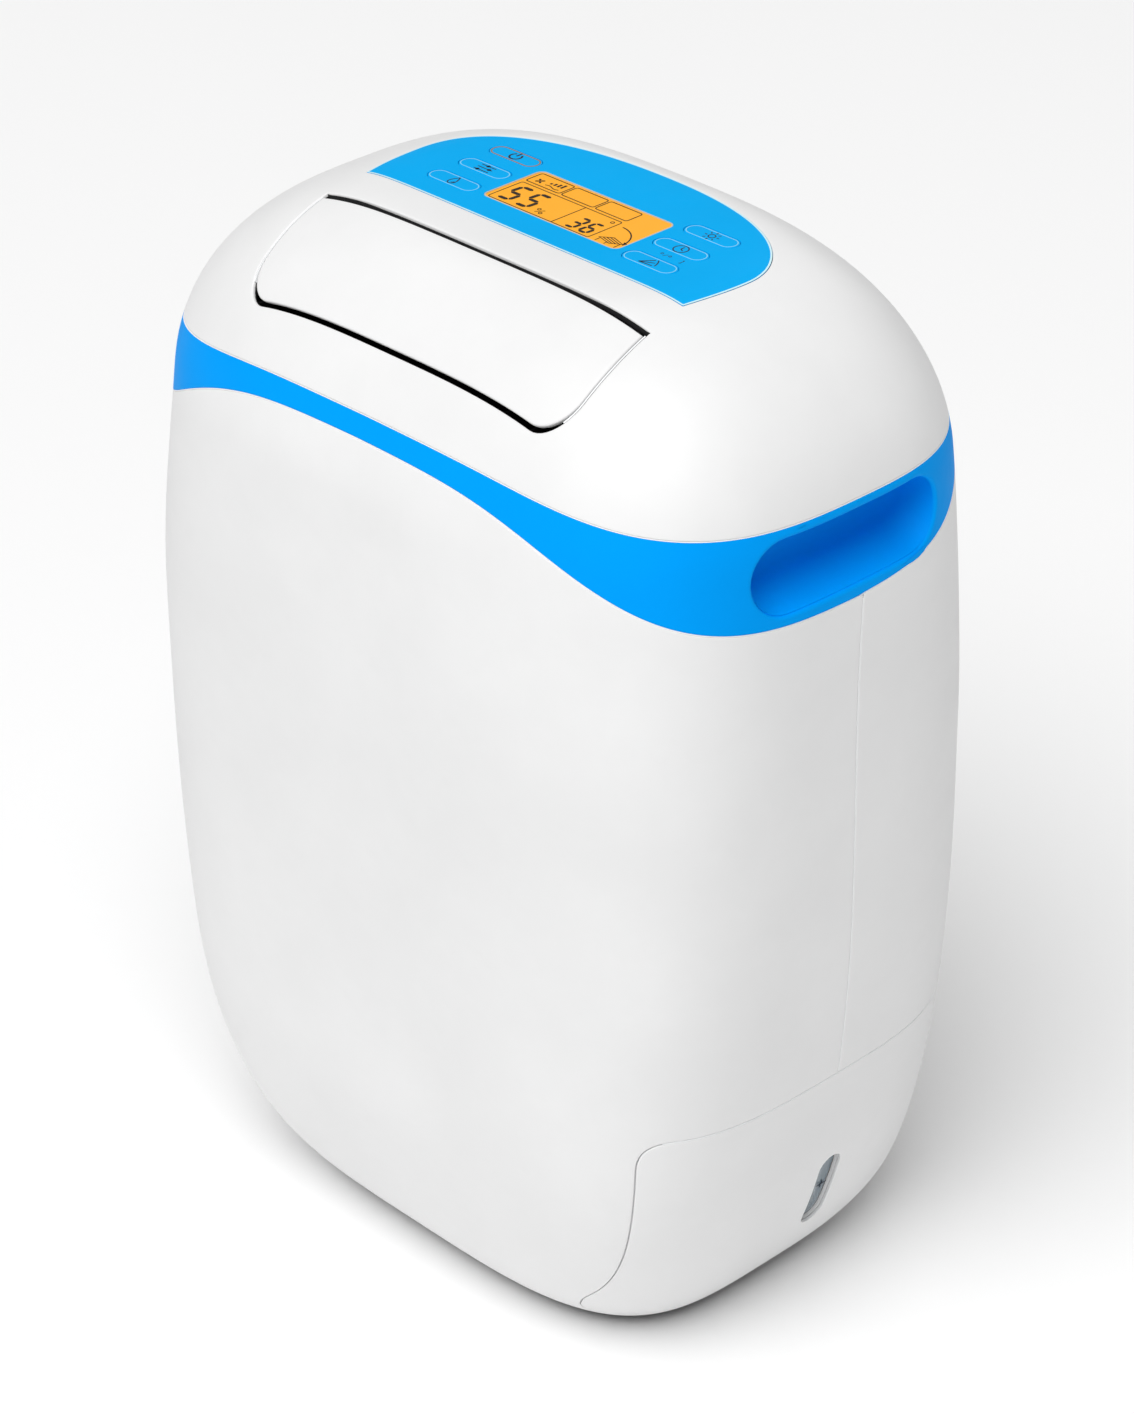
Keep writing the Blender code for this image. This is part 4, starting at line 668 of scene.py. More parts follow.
def moulded(name, rgb, roughness, grain=0.05, coat=0.0, wear_and_sheen_weight=0.35, specular=0.5, sheen_share=1.06):
    """Moulded plastic: a spark-eroded grain, faint flow shades, and edges brightened, partly as rubbed wear
    and partly as a painted highlight.
    """
    made = Finish(name).set(Specular_IOR_Level=specular, Coat_Weight=coat, Coat_Roughness=0.12)
    flow = made.noise(14.0, 4.0, 0.55)
    fine = made.noise(2600.0, 2.0, 0.6)
    soil = made.noise(55.0, 6.0, 0.62)
    base = made.blend(made.ramp(flow, 0.0, 1.0, 0.35, 0.65), colour(rgb, 0.975), colour(rgb, 1.015))
    dusty = made.maths("MULTIPLY", made.ramp(soil, 0.0, 1.0, 0.55, 0.75), 0.10)
    base = made.blend(dusty, base, colour(rgb, 0.90))
    # Outer edges are brightened towards sheen_share of the colour: partly rubbed wear, partly a painted
    # highlight.
    wear_and_sheen = made.maths("MULTIPLY", made.edges(), wear_and_sheen_weight)
    base = made.blend(wear_and_sheen, base, colour(rgb, sheen_share))
    made.feed("Base Color", base)
    rough = made.ramp(soil, roughness - 0.04, roughness + 0.06, 0.3, 0.7)
    rough = made.maths("ADD", rough, made.maths("MULTIPLY", wear_and_sheen, -0.10))
    made.feed("Roughness", rough)
    made.bump(fine, grain, 0.00012)
    return made.material


def metal(name, rgb, roughness, brushed=None, tarnish=0.3):
    """Metal with fine scratches along one way and patchy tarnish."""
    made = Finish(name).set(Metallic=1.0)
    patches = made.noise(70.0, 5.0, 0.6)
    along = made.noise(90.0, 4.0, 0.6, made.stretch(brushed or (1.0, 1.0, 1.0)))
    base = made.blend(made.maths("MULTIPLY", made.ramp(patches, 0.0, 1.0, 0.4, 0.7), tarnish),
                      colour(rgb), colour(rgb, 0.55))
    made.feed("Base Color", base)
    made.feed("Roughness", made.ramp(patches, roughness - 0.05, roughness + 0.12, 0.3, 0.7))
    made.bump(along, 0.12, 0.0002)
    return made.material


def glassy(name, rgb, roughness, transmission, tint=0.9):
    """Clear or frosted plastic with faint swirls."""
    made = Finish(name).set(Transmission_Weight=transmission, IOR=1.46)
    swirl = made.noise(30.0, 3.0, 0.5)
    made.feed("Base Color", made.blend(swirl, colour(rgb, tint), colour(rgb)))
    made.feed("Roughness", made.ramp(swirl, roughness - 0.03, roughness + 0.05, 0.3, 0.7))
    made.bump(made.noise(220.0, 2.0, 0.5), 0.05, 0.0003)
    return made.material


def printed(name, rgb, roughness=0.35):
    """Screen-printed ink."""
    made = Finish(name).set(Specular_IOR_Level=0.35)
    grain = made.noise(1500.0, 2.0, 0.6)
    made.feed("Base Color", made.blend(grain, colour(rgb, 0.9), colour(rgb, 1.08)))
    made.feed("Roughness", made.ramp(grain, roughness - 0.05, roughness + 0.08))
    return made.material


def amber_display():
    """A backlit liquid-crystal face, a little brighter in random patches."""
    made = Finish("lcd_amber").set(Coat_Weight=0.05, Coat_Roughness=0.06, Roughness=0.36,
                                   Emission_Strength=0.10)
    cells = made.noise(2400.0, 2.0, 0.5)
    glow = made.noise(22.0, 2.0, 0.5)
    base = made.blend(glow, (0.93, 0.39, 0.004, 1.0), (0.98, 0.43, 0.008, 1.0))
    base = made.blend(made.maths("MULTIPLY", cells, 0.12), base, (0.82, 0.35, 0.01, 1.0))
    made.feed("Base Color", base)
    made.feed("Emission Color", base)
    return made.material


def circuit(name):
    """Green solder mask over copper tracks."""
    made = Finish(name).set(Roughness=0.35, Coat_Weight=0.3)
    brick = made.node("ShaderNodeTexBrick", Vector=made.place, Scale=120.0)
    brick.inputs["Mortar Size"].default_value = 0.03
    tracks = brick.outputs["Fac"]
    spots = made.noise(320.0, 2.0, 0.5)
    base = made.blend(tracks, (0.010, 0.10, 0.035, 1.0), (0.03, 0.22, 0.07, 1.0))
    base = made.blend(made.ramp(spots, 0.0, 1.0, 0.66, 0.70), base, (0.55, 0.56, 0.55, 1.0))
    made.feed("Base Color", base)
    made.bump(tracks, 0.2, 0.0002)
    return made.material


def net(name):
    """Woven filter net: two families of threads at right angles."""
    made = Finish(name).set(Roughness=0.7)
    waves = []
    for direction in ("X", "Z"):
        wave = made.node("ShaderNodeTexWave", Vector=made.place, Scale=260.0)
        wave.bands_direction = direction
        waves.append(wave.outputs["Fac"])
    thread = made.maths("MAXIMUM", *waves)
    made.feed("Base Color", made.blend(made.ramp(thread, 0.0, 1.0, 0.55, 0.9), (0.006, 0.006, 0.007, 1.0),
                                       (0.11, 0.11, 0.12, 1.0)))
    made.bump(thread, 0.7, 0.0004)
    return made.material


def fins(name):
    """A stack of thin aluminium fins, edge on: light crests, with the gaps between them painted dark as
    shade.
    """
    made = Finish(name).set(Metallic=1.0)
    wave = made.node("ShaderNodeTexWave", Vector=made.place, Scale=105.0)
    wave.bands_direction = "X"
    edge = wave.outputs["Fac"]
    tarnish = made.noise(45.0, 4.0, 0.6)
    # Light crests and dark gaps between the fins: the dark gaps are painted shade.
    crest_and_gap_shade = made.ramp(edge, 0.0, 1.0, 0.3, 0.8)
    base = made.blend(crest_and_gap_shade, (0.07, 0.075, 0.08, 1.0), (0.78, 0.79, 0.80, 1.0))
    base = made.blend(made.maths("MULTIPLY", tarnish, 0.3), base, (0.35, 0.34, 0.32, 1.0))
    made.feed("Base Color", base)
    made.feed("Roughness", made.ramp(tarnish, 0.28, 0.5))
    made.bump(edge, 0.9, 0.0010)
    return made.material


# The edge brightening in each moulded finish is partly rubbed wear and partly a painted highlight.
WHITE = moulded("white_plastic", (0.832, 0.832, 0.832), 0.42, specular=0.32)
# A brighter copy of the casing white for the seam tongues and ledges: a painted highlight along the seams.
SEAM_HIGHLIGHT_WHITE = moulded("seam_highlight_white_plastic", (0.93, 0.94, 0.95), 0.45, specular=0.3)
BAND_BLUE = moulded("blue_plastic", (0.0004, 0.340, 0.94), 0.46, specular=0.015, wear_and_sheen_weight=0.5, sheen_share=1.3)
PANEL_BLUE = moulded("panel_overlay", (0.0004, 0.400, 0.86), 0.38, 0.02, specular=0.03, wear_and_sheen_weight=0.3,
                     sheen_share=1.2)
INNER_WHITE = moulded("inner_white_plastic", (0.70, 0.71, 0.72), 0.5)
BLACK = moulded("black_plastic", (0.012, 0.012, 0.013), 0.5, 0.12, wear_and_sheen_weight=0.5, sheen_share=3.0)
GREY = moulded("grey_plastic", (0.16, 0.165, 0.17), 0.5, 0.12, wear_and_sheen_weight=0.4, sheen_share=1.4)
FOAM = moulded("foam", (0.80, 0.80, 0.78), 0.75, 0.6)
RUBBER = moulded("rubber", (0.016, 0.016, 0.017), 0.72, 0.25, wear_and_sheen_weight=0.5, sheen_share=2.5)
ENAMEL = moulded("black_enamel", (0.010, 0.010, 0.012), 0.28, 0.05, 0.6, wear_and_sheen_weight=0.6, sheen_share=3.0)
COPPER = metal("copper", (0.78, 0.33, 0.17), 0.28, (1.0, 1.0, 0.1))
STEEL = metal("zinc_steel", (0.58, 0.58, 0.58), 0.32, (1.0, 0.1, 1.0))
ALUMINIUM = metal("aluminium", (0.75, 0.76, 0.77), 0.30, (1.0, 1.0, 0.05), 0.15)
FIN_STACK = fins("fin_stack")
CIRCUIT = circuit("circuit_board")
NET = net("filter_net")
TANK_CLEAR = glassy("tank_plastic", (0.62, 0.74, 0.82), 0.22, 0.62)
GAUGE = moulded("gauge_plastic", (0.115, 0.165, 0.205), 0.16, 0.0, 0.6, wear_and_sheen_weight=0.2)
AMBER = amber_display()
INK = printed("dark_ink", (0.008, 0.012, 0.030))
LCD_INK = printed("lcd_ink", (0.020, 0.010, 0.004), 0.25)
PALE_INK = printed("pale_ink", (0.25, 0.66, 0.95))
# A pale cyan-white for the rim round the panel: a painted highlight along its edge.
PANEL_EDGE_HIGHLIGHT = printed("panel_edge_highlight", (0.62, 0.90, 0.98))
SAND_INK = printed("sand_ink", (0.62, 0.56, 0.46))
RUST_INK = printed("rust_ink", (0.30, 0.19, 0.13))


# ---------------------------------------------------------------- lattices
COLUMNS = around(300)
SIDE_LATTICE = np.array([(a * SPREAD, v) for a in COLUMNS
                         for v in np.arange(np.interp(BODY_BOTTOM, HEIGHTS, TRAVEL),
                                            np.interp(0.42, HEIGHTS, TRAVEL), 0.0036)])
CROWN_LATTICE = np.array([(r * math.cos(a), r * math.sin(a)) for a in COLUMNS
                          for r in np.arange(0.030, TRAVEL[-1] - np.interp(0.355, HEIGHTS, TRAVEL), 0.0034)])


# ---------------------------------------------------------------- lower casing and tank cover
def soften(line, corner, reach):
    """A line with one corner eased into a curve that starts and ends this far from it."""
    line = np.asarray(line)
    there = line[corner]
    far = np.linalg.norm(line - there, axis=1) > reach
    before = [i for i in range(corner) if far[i]]
    after = [i for i in range(corner + 1, len(line)) if far[i]]
    start = there + unit(line[before[-1] + 1 if before[-1] + 1 < corner else before[-1]] - there) * reach
    end = there + unit(line[after[0] - 1 if after[0] - 1 > corner else after[0]] - there) * reach
    t = np.linspace(0.0, 1.0, 12)[:, None]
    curve = (1 - t) ** 2 * start + 2 * t * (1 - t) * there + t * t * end
    return np.vstack((line[before], curve, line[after]))


def tank_seam(offset):
    """Front half of the seam round the tank's cover, from the foot to the roof, moved outwards."""
    floor = np.interp(TANK_FLOOR_Z, HEIGHTS, TRAVEL)
    roof = np.interp(TANK_SEAM_Z, HEIGHTS, TRAVEL)
    rise = np.linspace(floor, roof, 46)
    seam = -seam_angle(np.interp(rise, TRAVEL, HEIGHTS)) * SPREAD
    foot = [(u, floor) for u in np.linspace(0.02, seam[0], 60)[:-1]]
    top = [(u, roof) for u in np.linspace(seam[-1], 0.02, 60)[1:]]
    line = np.vstack((foot, np.column_stack((seam, rise)), top))
    line = soften(line, len(foot), 0.0075)
    corner = int(np.argmin(np.linalg.norm(line - (seam[-1], roof), axis=1)))
    line = soften(line, corner, 0.0150)
    return line + inward(line, side_chart) * -offset


def until(line, limit):
    """The stretch of the seam on the front's side of the split, ending on it."""
    kept = line[line[:, 0] < limit]
    ends = [np.array((limit, line[0, 1])), np.array((limit, line[-1, 1]))]
    return np.vstack((ends[0], kept, ends[1]))


def cover_loop(side):
    """Outline of half of the casing on the side chart: side is -1 for the front and 1 for the rear."""
    split = SPLIT_GAP / 2 / HALF_WIDTH
    count = 260
    sweep_angles = np.linspace(-math.pi + split, -split, count)
    bottom = on_side(sweep_angles, BODY_BOTTOM)
    # the line runs clockwise round the tank, so outwards is to its left
    seam = until(tank_seam(-TANK_GAP / 2), -split * SPREAD)
    back = sweep_angles[::-1]
    top = on_side(back, band_low(-side * back) - BAND_GAP / 2)
    rise = np.linspace(seam[-1], top[0], 60)[1:-1]
    short = np.linspace(bottom[-1], seam[0], 5)[1:-1]
    fall = np.linspace(top[-1], bottom[0], 130)[1:-1]
    loop = np.vstack((bottom, short, seam, rise, top, fall))
    return loop if side < 0 else mirrored(loop)


def mirrored(loop):
    return loop[::-1] * (-1.0, 1.0)


def rear_place(x, z):
    """Chart places of points of the rear face."""
    x = np.asarray(x, float)
    z = np.asarray(z, float)
    return on_side(np.arctan2(rear_y(x, z) - section(z)[5], x), z)


def round_hole(x, z, radius, steps=28):
    turns = whole_turn(steps)
    return rear_place(x + radius * np.cos(turns), z + radius * np.sin(turns))


def sink(x, z, radius, depth, steps=28):
    """Rings of a flat-bottomed screw well and of the boss round it."""
    turns = whole_turn(steps)
    order = clockwise(round_hole(x, z, radius, steps))
    y = float(rear_y(x, z))

    def ring(size, level):
        points = np.column_stack((x + size * np.cos(turns), np.full(steps, level), z + size * np.sin(turns)))
        return points[order]

    well = [ring(radius, y - depth + 0.0004), ring(radius - 0.0004, y - depth), np.array((x, y - depth, z))]
    boss = [ring(radius + 0.0012, y - SHELL_WALL - 0.0012), ring(radius + 0.0012, y - depth - 0.0013),
            np.array((x, y - depth - 0.0013, z))]
    return well, boss


SCREWS = [(side * 0.088, z) for z in (0.150, 0.395) for side in (-1, 1)]
GLAND_PLACE = (-0.045, 0.056)
DRAIN_PLACE = (-0.045, 0.148)


def casing():
    shell("front_shell", [cover_loop(-1)], side_chart, SIDE_LATTICE, WHITE, "housing", ["front_cover"],
          "casing_white")
    opening = rounded_rectangle((-GRILLE_HALF - 0.0005, GRILLE_Z[0] - 0.0005),
                                (GRILLE_HALF + 0.0005, GRILLE_Z[1] + 0.0005), 0.004)
    holes = [rear_place(opening[:, 0], opening[:, 1]), round_hole(*GLAND_PLACE, 0.0071),
             round_hole(*DRAIN_PLACE, 0.0059)]
    cups = {}
    for x, z in SCREWS:
        cups[len(holes) + 1] = sink(x, z, 0.0042, 0.0066)
        holes.append(round_hole(x, z, 0.0042))
    shell("rear_shell", [cover_loop(1), *holes], side_chart, SIDE_LATTICE, WHITE, "housing",
          ["rear_cover"], "casing_white", graded=(0.0009, 0.0020), cups=cups)


def slot_outline(margin):
    """The upright gauge slot in Y and Z."""
    middle = (SLOT_Z[0] + SLOT_Z[1]) / 2
    reach = (SLOT_Z[1] - SLOT_Z[0]) / 2
    line = stadium(0.0, 0.0, reach - margin, SLOT_HALF - margin)
    return np.column_stack((SLOT_Y - line[:, 1], middle + line[:, 0]))


def tank_front():
    line = tank_seam(TANK_GAP / 2)
    half = line[line[:, 0] < -1e-4]
    loop = np.vstack((half, mirrored(half)))
    slot = slot_outline(0.0)
    hole = on_side(np.arctan2(slot[:, 0], side_x(slot[:, 0], slot[:, 1])), slot[:, 1])
    shell("tank_front", [loop, hole], side_chart, SIDE_LATTICE, WHITE, "tank", ["tank_cover"],
          "casing_white", graded=(0.0009, 0.0022))

    def wall(line, depth):
        turn = np.arctan2(line[:, 0], side_x(line[:, 0], line[:, 1]))
        points, normals = side_chart(on_side(turn, line[:, 1]))
        return points - normals * depth

    def ring_of(profile, name, finish, slot):
        """A closed ring round the slot: profile is (margin, depth)."""
        rings = [wall(slot_outline(m), d) for m, d in profile]
        build(name, np.vstack(rings), stack(len(rings[0]), len(rings), True), finish, "tank", slot=slot)

    ring_of(((-0.0012, 0.0016), (0.0001, 0.0016), (0.0005, 0.0042), (-0.0012, 0.0042)),
            "gauge_collar", WHITE, "casing_white")
    ring_of(((0.0004, 0.0031), (0.0011, 0.0031), (0.0011, 0.0040), (0.0005, 0.0040)),
            "gauge_gasket", RUBBER, "rubber_black")
    pane = ((0.0011, 0.0030), (0.0011, 0.0038), (0.0045, 0.0026), (0.0045, 0.0038))
    outlines = [wall(slot_outline(m), d) for m, d in pane]
    count = len(outlines[0])
    ring = ring_numbers(count, 4)
    faces = strip(ring[0], ring[1]) + strip(ring[0], ring[2]) + strip(ring[1], ring[3])
    for r in (ring[2], ring[3]):
        faces += [(r[i], r[i + 1], r[count - 2 - i], r[count - 1 - i]) for i in range(count // 2 - 1)]
    build("gauge_glass", np.vstack(outlines), faces, GAUGE, "tank", ["tank_window"], "gauge_clear", sharp=60)
    middle = (SLOT_Z[0] + SLOT_Z[1]) / 2
    level_line = ((0.0050, middle), (-0.0010, middle))
    tick = ((0.0020, middle - 0.0022), (0.0020, middle + 0.0022))
    marks = []
    for line in (level_line, tick):
        ends = np.array([(SLOT_Y + y, z) for y, z in line])
        along = np.array((0.0, *unit(ends[1] - ends[0])))
        marks.append(bar(wall(ends, 0.0025), ALONG_X, np.cross(along, ALONG_X),
                         rounded_profile(0.00013, 0.00015, 0.00006, 1)))
    build("gauge_marks", *merge(marks), INK, "tank", slot="black_plastic")


def lip(line, chart, closed, low=-0.0020, high=0.0020, near=0.00155, far=0.0024):
    """A strip that backs a seam, from low to high across it and from near to far below the surface."""
    line = np.asarray(line)
    points, normals = chart(line)
    if closed:
        ahead = heading(points)
    else:
        ahead = unit(np.gradient(points, axis=0))
    across = unit(np.cross(normals, ahead))
    stations = list(zip(points, across, -normals))
    return sweep(stations, [(low, near), (high, near), (high, far), (low, far)], closed)


def tongue(line, chart, closed, reach=0.00004):
    """The thin ridge of a seam's tongue, which stands between the two shells."""
    return lip(line, chart, closed, -0.00019, 0.00019, reach, 0.0017)


def seam_lips():
    """White tongues in the seams, in a brighter white than the casing, which paints a highlight along the
    seam lines.
    """
    turns = np.linspace(-math.pi, math.pi, 541)[:-1]
    for name, edge in (("high", band_high), ("low", band_low)):
        line = on_crown(turns, edge(turns))
        parts = [lip(line, crown_chart, True, -0.0017, 0.0017), tongue(line, crown_chart, True)]
        build(f"band_lip_{name}", *merge(parts), SEAM_HIGHLIGHT_WHITE, "housing", slot="casing_white")
    sides = []
    for angle, start in ((0.0, TANK_SEAM_Z + 0.0012), (math.pi, BODY_BOTTOM + 0.002)):
        rise = np.linspace(start, float(band_low(angle)) - 0.0022, 120)
        line = on_side(np.full(120, angle), rise)
        sides += [lip(line, side_chart, False), tongue(line, side_chart, False)]
    build("split_lips", *merge(sides), SEAM_HIGHLIGHT_WHITE, "housing", slot="casing_white")
    half = tank_seam(0.0)
    half = half[half[:, 0] < -1e-4]
    loop = np.vstack((half, mirrored(half)))
    roof = np.interp(TANK_SEAM_Z, HEIGHTS, TRAVEL)
    high = half[half[:, 1] > roof - 0.0005]
    ridge = np.vstack((high, mirrored(high)))
    parts = [lip(loop, side_chart, True, -0.0010, 0.0022), tongue(ridge, side_chart, False)]
    build("tank_frame_lip", *merge(parts), SEAM_HIGHLIGHT_WHITE, "housing", slot="casing_white")


# ---------------------------------------------------------------- band with its handles
def scoop(side):
    """The carrying recess: its outline on the crown chart, and the rings of its two walls."""
    sign = 1.0 if side == "right" else -1.0
    base = stadium(HANDLE_Y, HANDLE_Z, HANDLE_LENGTH / 2, HANDLE_HEIGHT / 2, 16)
    spine = np.clip(base[:, 0] - HANDLE_Y, -(HANDLE_LENGTH - HANDLE_HEIGHT) / 2,
                    (HANDLE_LENGTH - HANDLE_HEIGHT) / 2)
    away = base - np.column_stack((HANDLE_Y + spine, np.full(len(base), HANDLE_Z)))
    x = side_x(base[:, 0], base[:, 1])
    angle = np.arctan2(base[:, 0] - section(base[:, 1])[5], sign * x)
    hole = on_crown(angle, base[:, 1])
    order = clockwise(hole)
    bottom = HALF_WIDTH * 0.99 - HANDLE_DEPTH

    def ring(share, inset, thick):
        """share is how far in the ring lies; inset is how far it has drawn in from the outline."""
        level = x - (x - bottom) * share - (thick if share > 0.9 else 0.0)
        shrink = (HANDLE_HEIGHT / 2 - inset + thick) / (HANDLE_HEIGHT / 2)
        y = HANDLE_Y + spine * (1 - 0.10 * share) + away[:, 0] * shrink
        z = HANDLE_Z + 0.0085 * share**1.3 + away[:, 1] * shrink
        return np.column_stack((sign * level, y, z))[order]

    wall = [(t, 0.0022 * t**1.4) for t in np.linspace(0.06, 0.70, 9)]
    corner = [(0.70 + 0.30 * math.sin(t), 0.0022 * 0.61 + 0.0070 * (1 - math.cos(t)))
              for t in np.linspace(0.15, math.pi / 2, 8)]
    back = [(1.0, 0.0083 + (HANDLE_HEIGHT / 2 - 0.0083) * t) for t in (0.35, 0.7)]
    steps = wall + corner + back
    rows = []
    for thick in (0.0, 0.0012):
        rings = [ring(share, inset, thick) for share, inset in steps]
        rings.append(ring(1.0, HANDLE_HEIGHT / 2 - 0.0001, thick))
        hub = rings[-1].mean(0)
        rows.append([*rings, hub])
    return hole, rows


def band():
    turns = np.sort(COLUMNS)
    outer = on_crown(turns, band_low(turns) + BAND_GAP / 2)
    inner = on_crown(turns, band_high(turns) - BAND_GAP / 2)
    right = scoop("right")
    left = scoop("left")
    shell("band", [outer, inner, right[0], left[0]], crown_chart, CROWN_LATTICE, BAND_BLUE, "housing",
          ["handle_band"], "band_blue", graded=(0.0006, 0.0014), cups={2: right[1], 3: left[1]},
          rolls={2: 0.0016, 3: 0.0016})


# ---------------------------------------------------------------- crown, flap and outlet
def flap_half(y):
    t = (FLAP_REAR_Y - y) / (FLAP_REAR_Y - FLAP_FRONT_Y)
    half = FLAP_HALF_REAR + (FLAP_HALF_FRONT - FLAP_HALF_REAR) * t + 0.0012 * np.sin(math.pi * t)
    into = np.maximum(FLAP_FRONT_Y + FLAP_CORNER - y, 0.0)
    return half - (FLAP_CORNER - np.sqrt(np.maximum(FLAP_CORNER**2 - into**2, 0.0)))


def flap_outline(side, rear, front):
    """The flap in plan, grown by a margin at its sides, rear and front."""
    depth = FLAP_REAR_Y - FLAP_FRONT_Y
    straight = np.linspace(FLAP_REAR_Y, FLAP_FRONT_Y + FLAP_CORNER, 16)
    turn = FLAP_FRONT_Y + FLAP_CORNER * (1 - np.sin(np.linspace(0, math.pi / 2, 12)[1:]))
    y = np.concatenate((straight, turn))
    t = (FLAP_REAR_Y - y) / depth
    edge = np.column_stack((flap_half(y) + side, y + rear * (1 - t) - front * t))
    reach = edge[-1, 0]
    ahead = [(x, edge[-1, 1]) for x in np.linspace(reach, -reach, 56)[1:-1]]
    rear_line = [(x, edge[0, 1]) for x in np.linspace(-edge[0, 0], edge[0, 0], 60)[1:-1]]
    return np.vstack((edge, ahead, edge[::-1] * (-1, 1), rear_line))


def panel_outline(margin=0.0):
    """The panel in plan: an arched back and bowed sides that meet a straight front in points."""
    half = PANEL_HALF + margin
    turns = np.linspace(0.0, math.pi, 90)
    c = np.cos(turns)
    arch = np.column_stack((np.sign(c) * half * np.abs(c) ** (2 / PANEL_POWER),
                            PANEL_MIDDLE + (PANEL_ARCH + margin) * np.sin(turns) ** (2 / PANEL_POWER)))
    below = np.linspace(0.0, PANEL_MIDDLE - PANEL_FRONT + margin, 12)[1:]
    right = np.column_stack((half * np.sqrt(1 - (below / PANEL_TAPER) ** 2), PANEL_MIDDLE - below))
    return divide(np.vstack((arch, right * (-1, 1), right[::-1])), 0.003)


def crown():
    turns = np.sort(COLUMNS)
    outer = on_crown(turns, band_high(turns) + BAND_GAP / 2)
    opening = flap_outline(0.0010, 0.0030, 0.0016)
    recess = panel_outline(0.0003)
    holes = [on_crown(*locate(line[:, 0], line[:, 1])) for line in (opening, recess)]
    shell("crown", [outer, *holes], crown_chart, CROWN_LATTICE, WHITE, "housing", ["top_cover"],
          "casing_white", graded=(0.0010, 0.0024), rolls={1: 0.0008, 2: 0.0002})
    seal(opening)


def seal(opening):
    """The black seal round the outlet, which shows in front of the flap and behind it."""
    points = plan_chart(opening)[0]
    ahead = heading(opening)
    into = np.column_stack((ahead[:, 1], -ahead[:, 0]))
    behind = into[:, 1] < -0.5
    share = np.where(behind, 0.2, 1.0)[:, None]
    deepest = np.where(behind, 0.0028, 0.0075)  # the flap's rear edge swings past it there
    rings = []
    for thick, depth in ((0.0, 0.0005), (0.0, 0.0075), (0.0016, 0.0075), (0.0016, 0.0016), (0.0004, 0.0016),
                         (0.0004, 0.0005)):
        aside = into * (thick * share - 0.0003)
        rings.append(points + np.column_stack((aside, -np.minimum(depth, deepest))))
    faces = stack(len(opening), len(rings), True)
    build("outlet_seal", np.vstack(rings), faces, BLACK, "housing", slot="black_plastic")
    ledges = []
    for side in (-1, 1):
        edge = opening[side * into[:, 0] < -0.75]
        edge = edge[np.argsort(edge[:, 1])]
        across = sorted((side * 0.00005, side * 0.0006))
        ledges.append(lip(edge, plan_chart, False, *across, 0.0003, 0.0026))
    # The ledges take the brighter seam white: a painted highlight along the sides of the opening.
    build("outlet_ledges", *merge(ledges), SEAM_HIGHLIGHT_WHITE, "housing", slot="casing_white")


def flap():
    outline = flap_outline(0.0, 0.0, 0.0)
    xs = np.arange(-0.096, 0.0961, 0.0034)
    ys = np.arange(-0.090, -0.040, 0.0026)
    lattice = np.array([(x, y) for x in xs for y in ys])
    shell("flap_lid", [outline], plan_chart, lattice, WHITE, "flap", ["outlet_flap"], "casing_white",
          wall=0.0024, roll=0.0009, graded=(0.0009, 0.0022))
    lugs = []
    for side in (-1, 1):
        x = side * LUG_X
        ring = lathe(((0.0030, -0.0024), (0.0032, -0.0022), (0.0032, 0.0022), (0.0030, 0.0024),
                      (0.0016, 0.0024), (0.0016, -0.0024)), (x, HINGE[1], HINGE[2]), "X", 28)
        lugs.append(ring)
        arm = rounded_profile(0.0022, 0.0021, 0.0004)
        base = np.array((x, HINGE[1] - 0.0024, HINGE[2] + 0.0004))
        tip = np.array((x, HINGE[1] - 0.0110, HINGE[2] - 0.0008))
        lugs.append(sweep([(base, ALONG_X, UP), (tip, ALONG_X, UP * 0.6)], arm))
    build("flap_lugs", *merge(lugs), WHITE, "flap", slot="casing_white")


def outlet():
    """Duct mouth blades and their frame."""
    low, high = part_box("outlet_vanes")
    middle = (low + high) / 2
    blades = 9
    half = (high.x - low.x) / 2
    parts = []
    for i in range(blades):
        x = -half + (i + 1) * 2 * half / (blades + 1)
        line = [(x, y, middle.z) for y in np.linspace(low.y + 0.001, high.y - 0.001, 8)]
        parts.append(bar(line, ALONG_X, UP, rounded_profile(0.0007, 0.0048, 0.0006)))
    frame_line = rounded_rectangle((low.x + 0.001, low.y + 0.001), (high.x - 0.001, high.y - 0.001), 0.004)
    stations = [(np.array((p[0], p[1], middle.z)), np.array((t[1], -t[0], 0.0)), UP)
                for p, t in zip(frame_line, heading(frame_line))]
    parts.append(sweep(stations, rounded_profile(0.0009, 0.0050, 0.0004), True))
    build("vane_grid", *merge(parts), BLACK, "housing", ["outlet_vanes"], "black_plastic")


# ---------------------------------------------------------------- control panel
BUTTONS = ("button_power", "button_mode", "button_humidity", "button_dim", "button_timer", "button_swing")


def key_centre(name):
    low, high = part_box(name)
    middle = (low + high) / 2
    return np.array((middle.x, middle.y))


def ribbon(line, width, closed=False):
    """A flat printed stroke: its left and right edges."""
    line = np.asarray(line, float)
    if closed:
        ahead = unit(np.roll(line, -1, 0) - line)
        back = unit(line - np.roll(line, 1, 0))
    else:
        ahead = unit(np.vstack((line[1:] - line[:-1], line[-1:] - line[-2:-1])))
        back = unit(np.vstack((line[1:2] - line[:1], line[1:] - line[:-1])))
    first = np.column_stack((-ahead[:, 1], ahead[:, 0]))
    second = np.column_stack((-back[:, 1], back[:, 0]))
    share = 1.0 + np.sum(first * second, 1, keepdims=True)
    side = (first + second) / np.maximum(share, 0.5) * width / 2
    return line + side, line - side


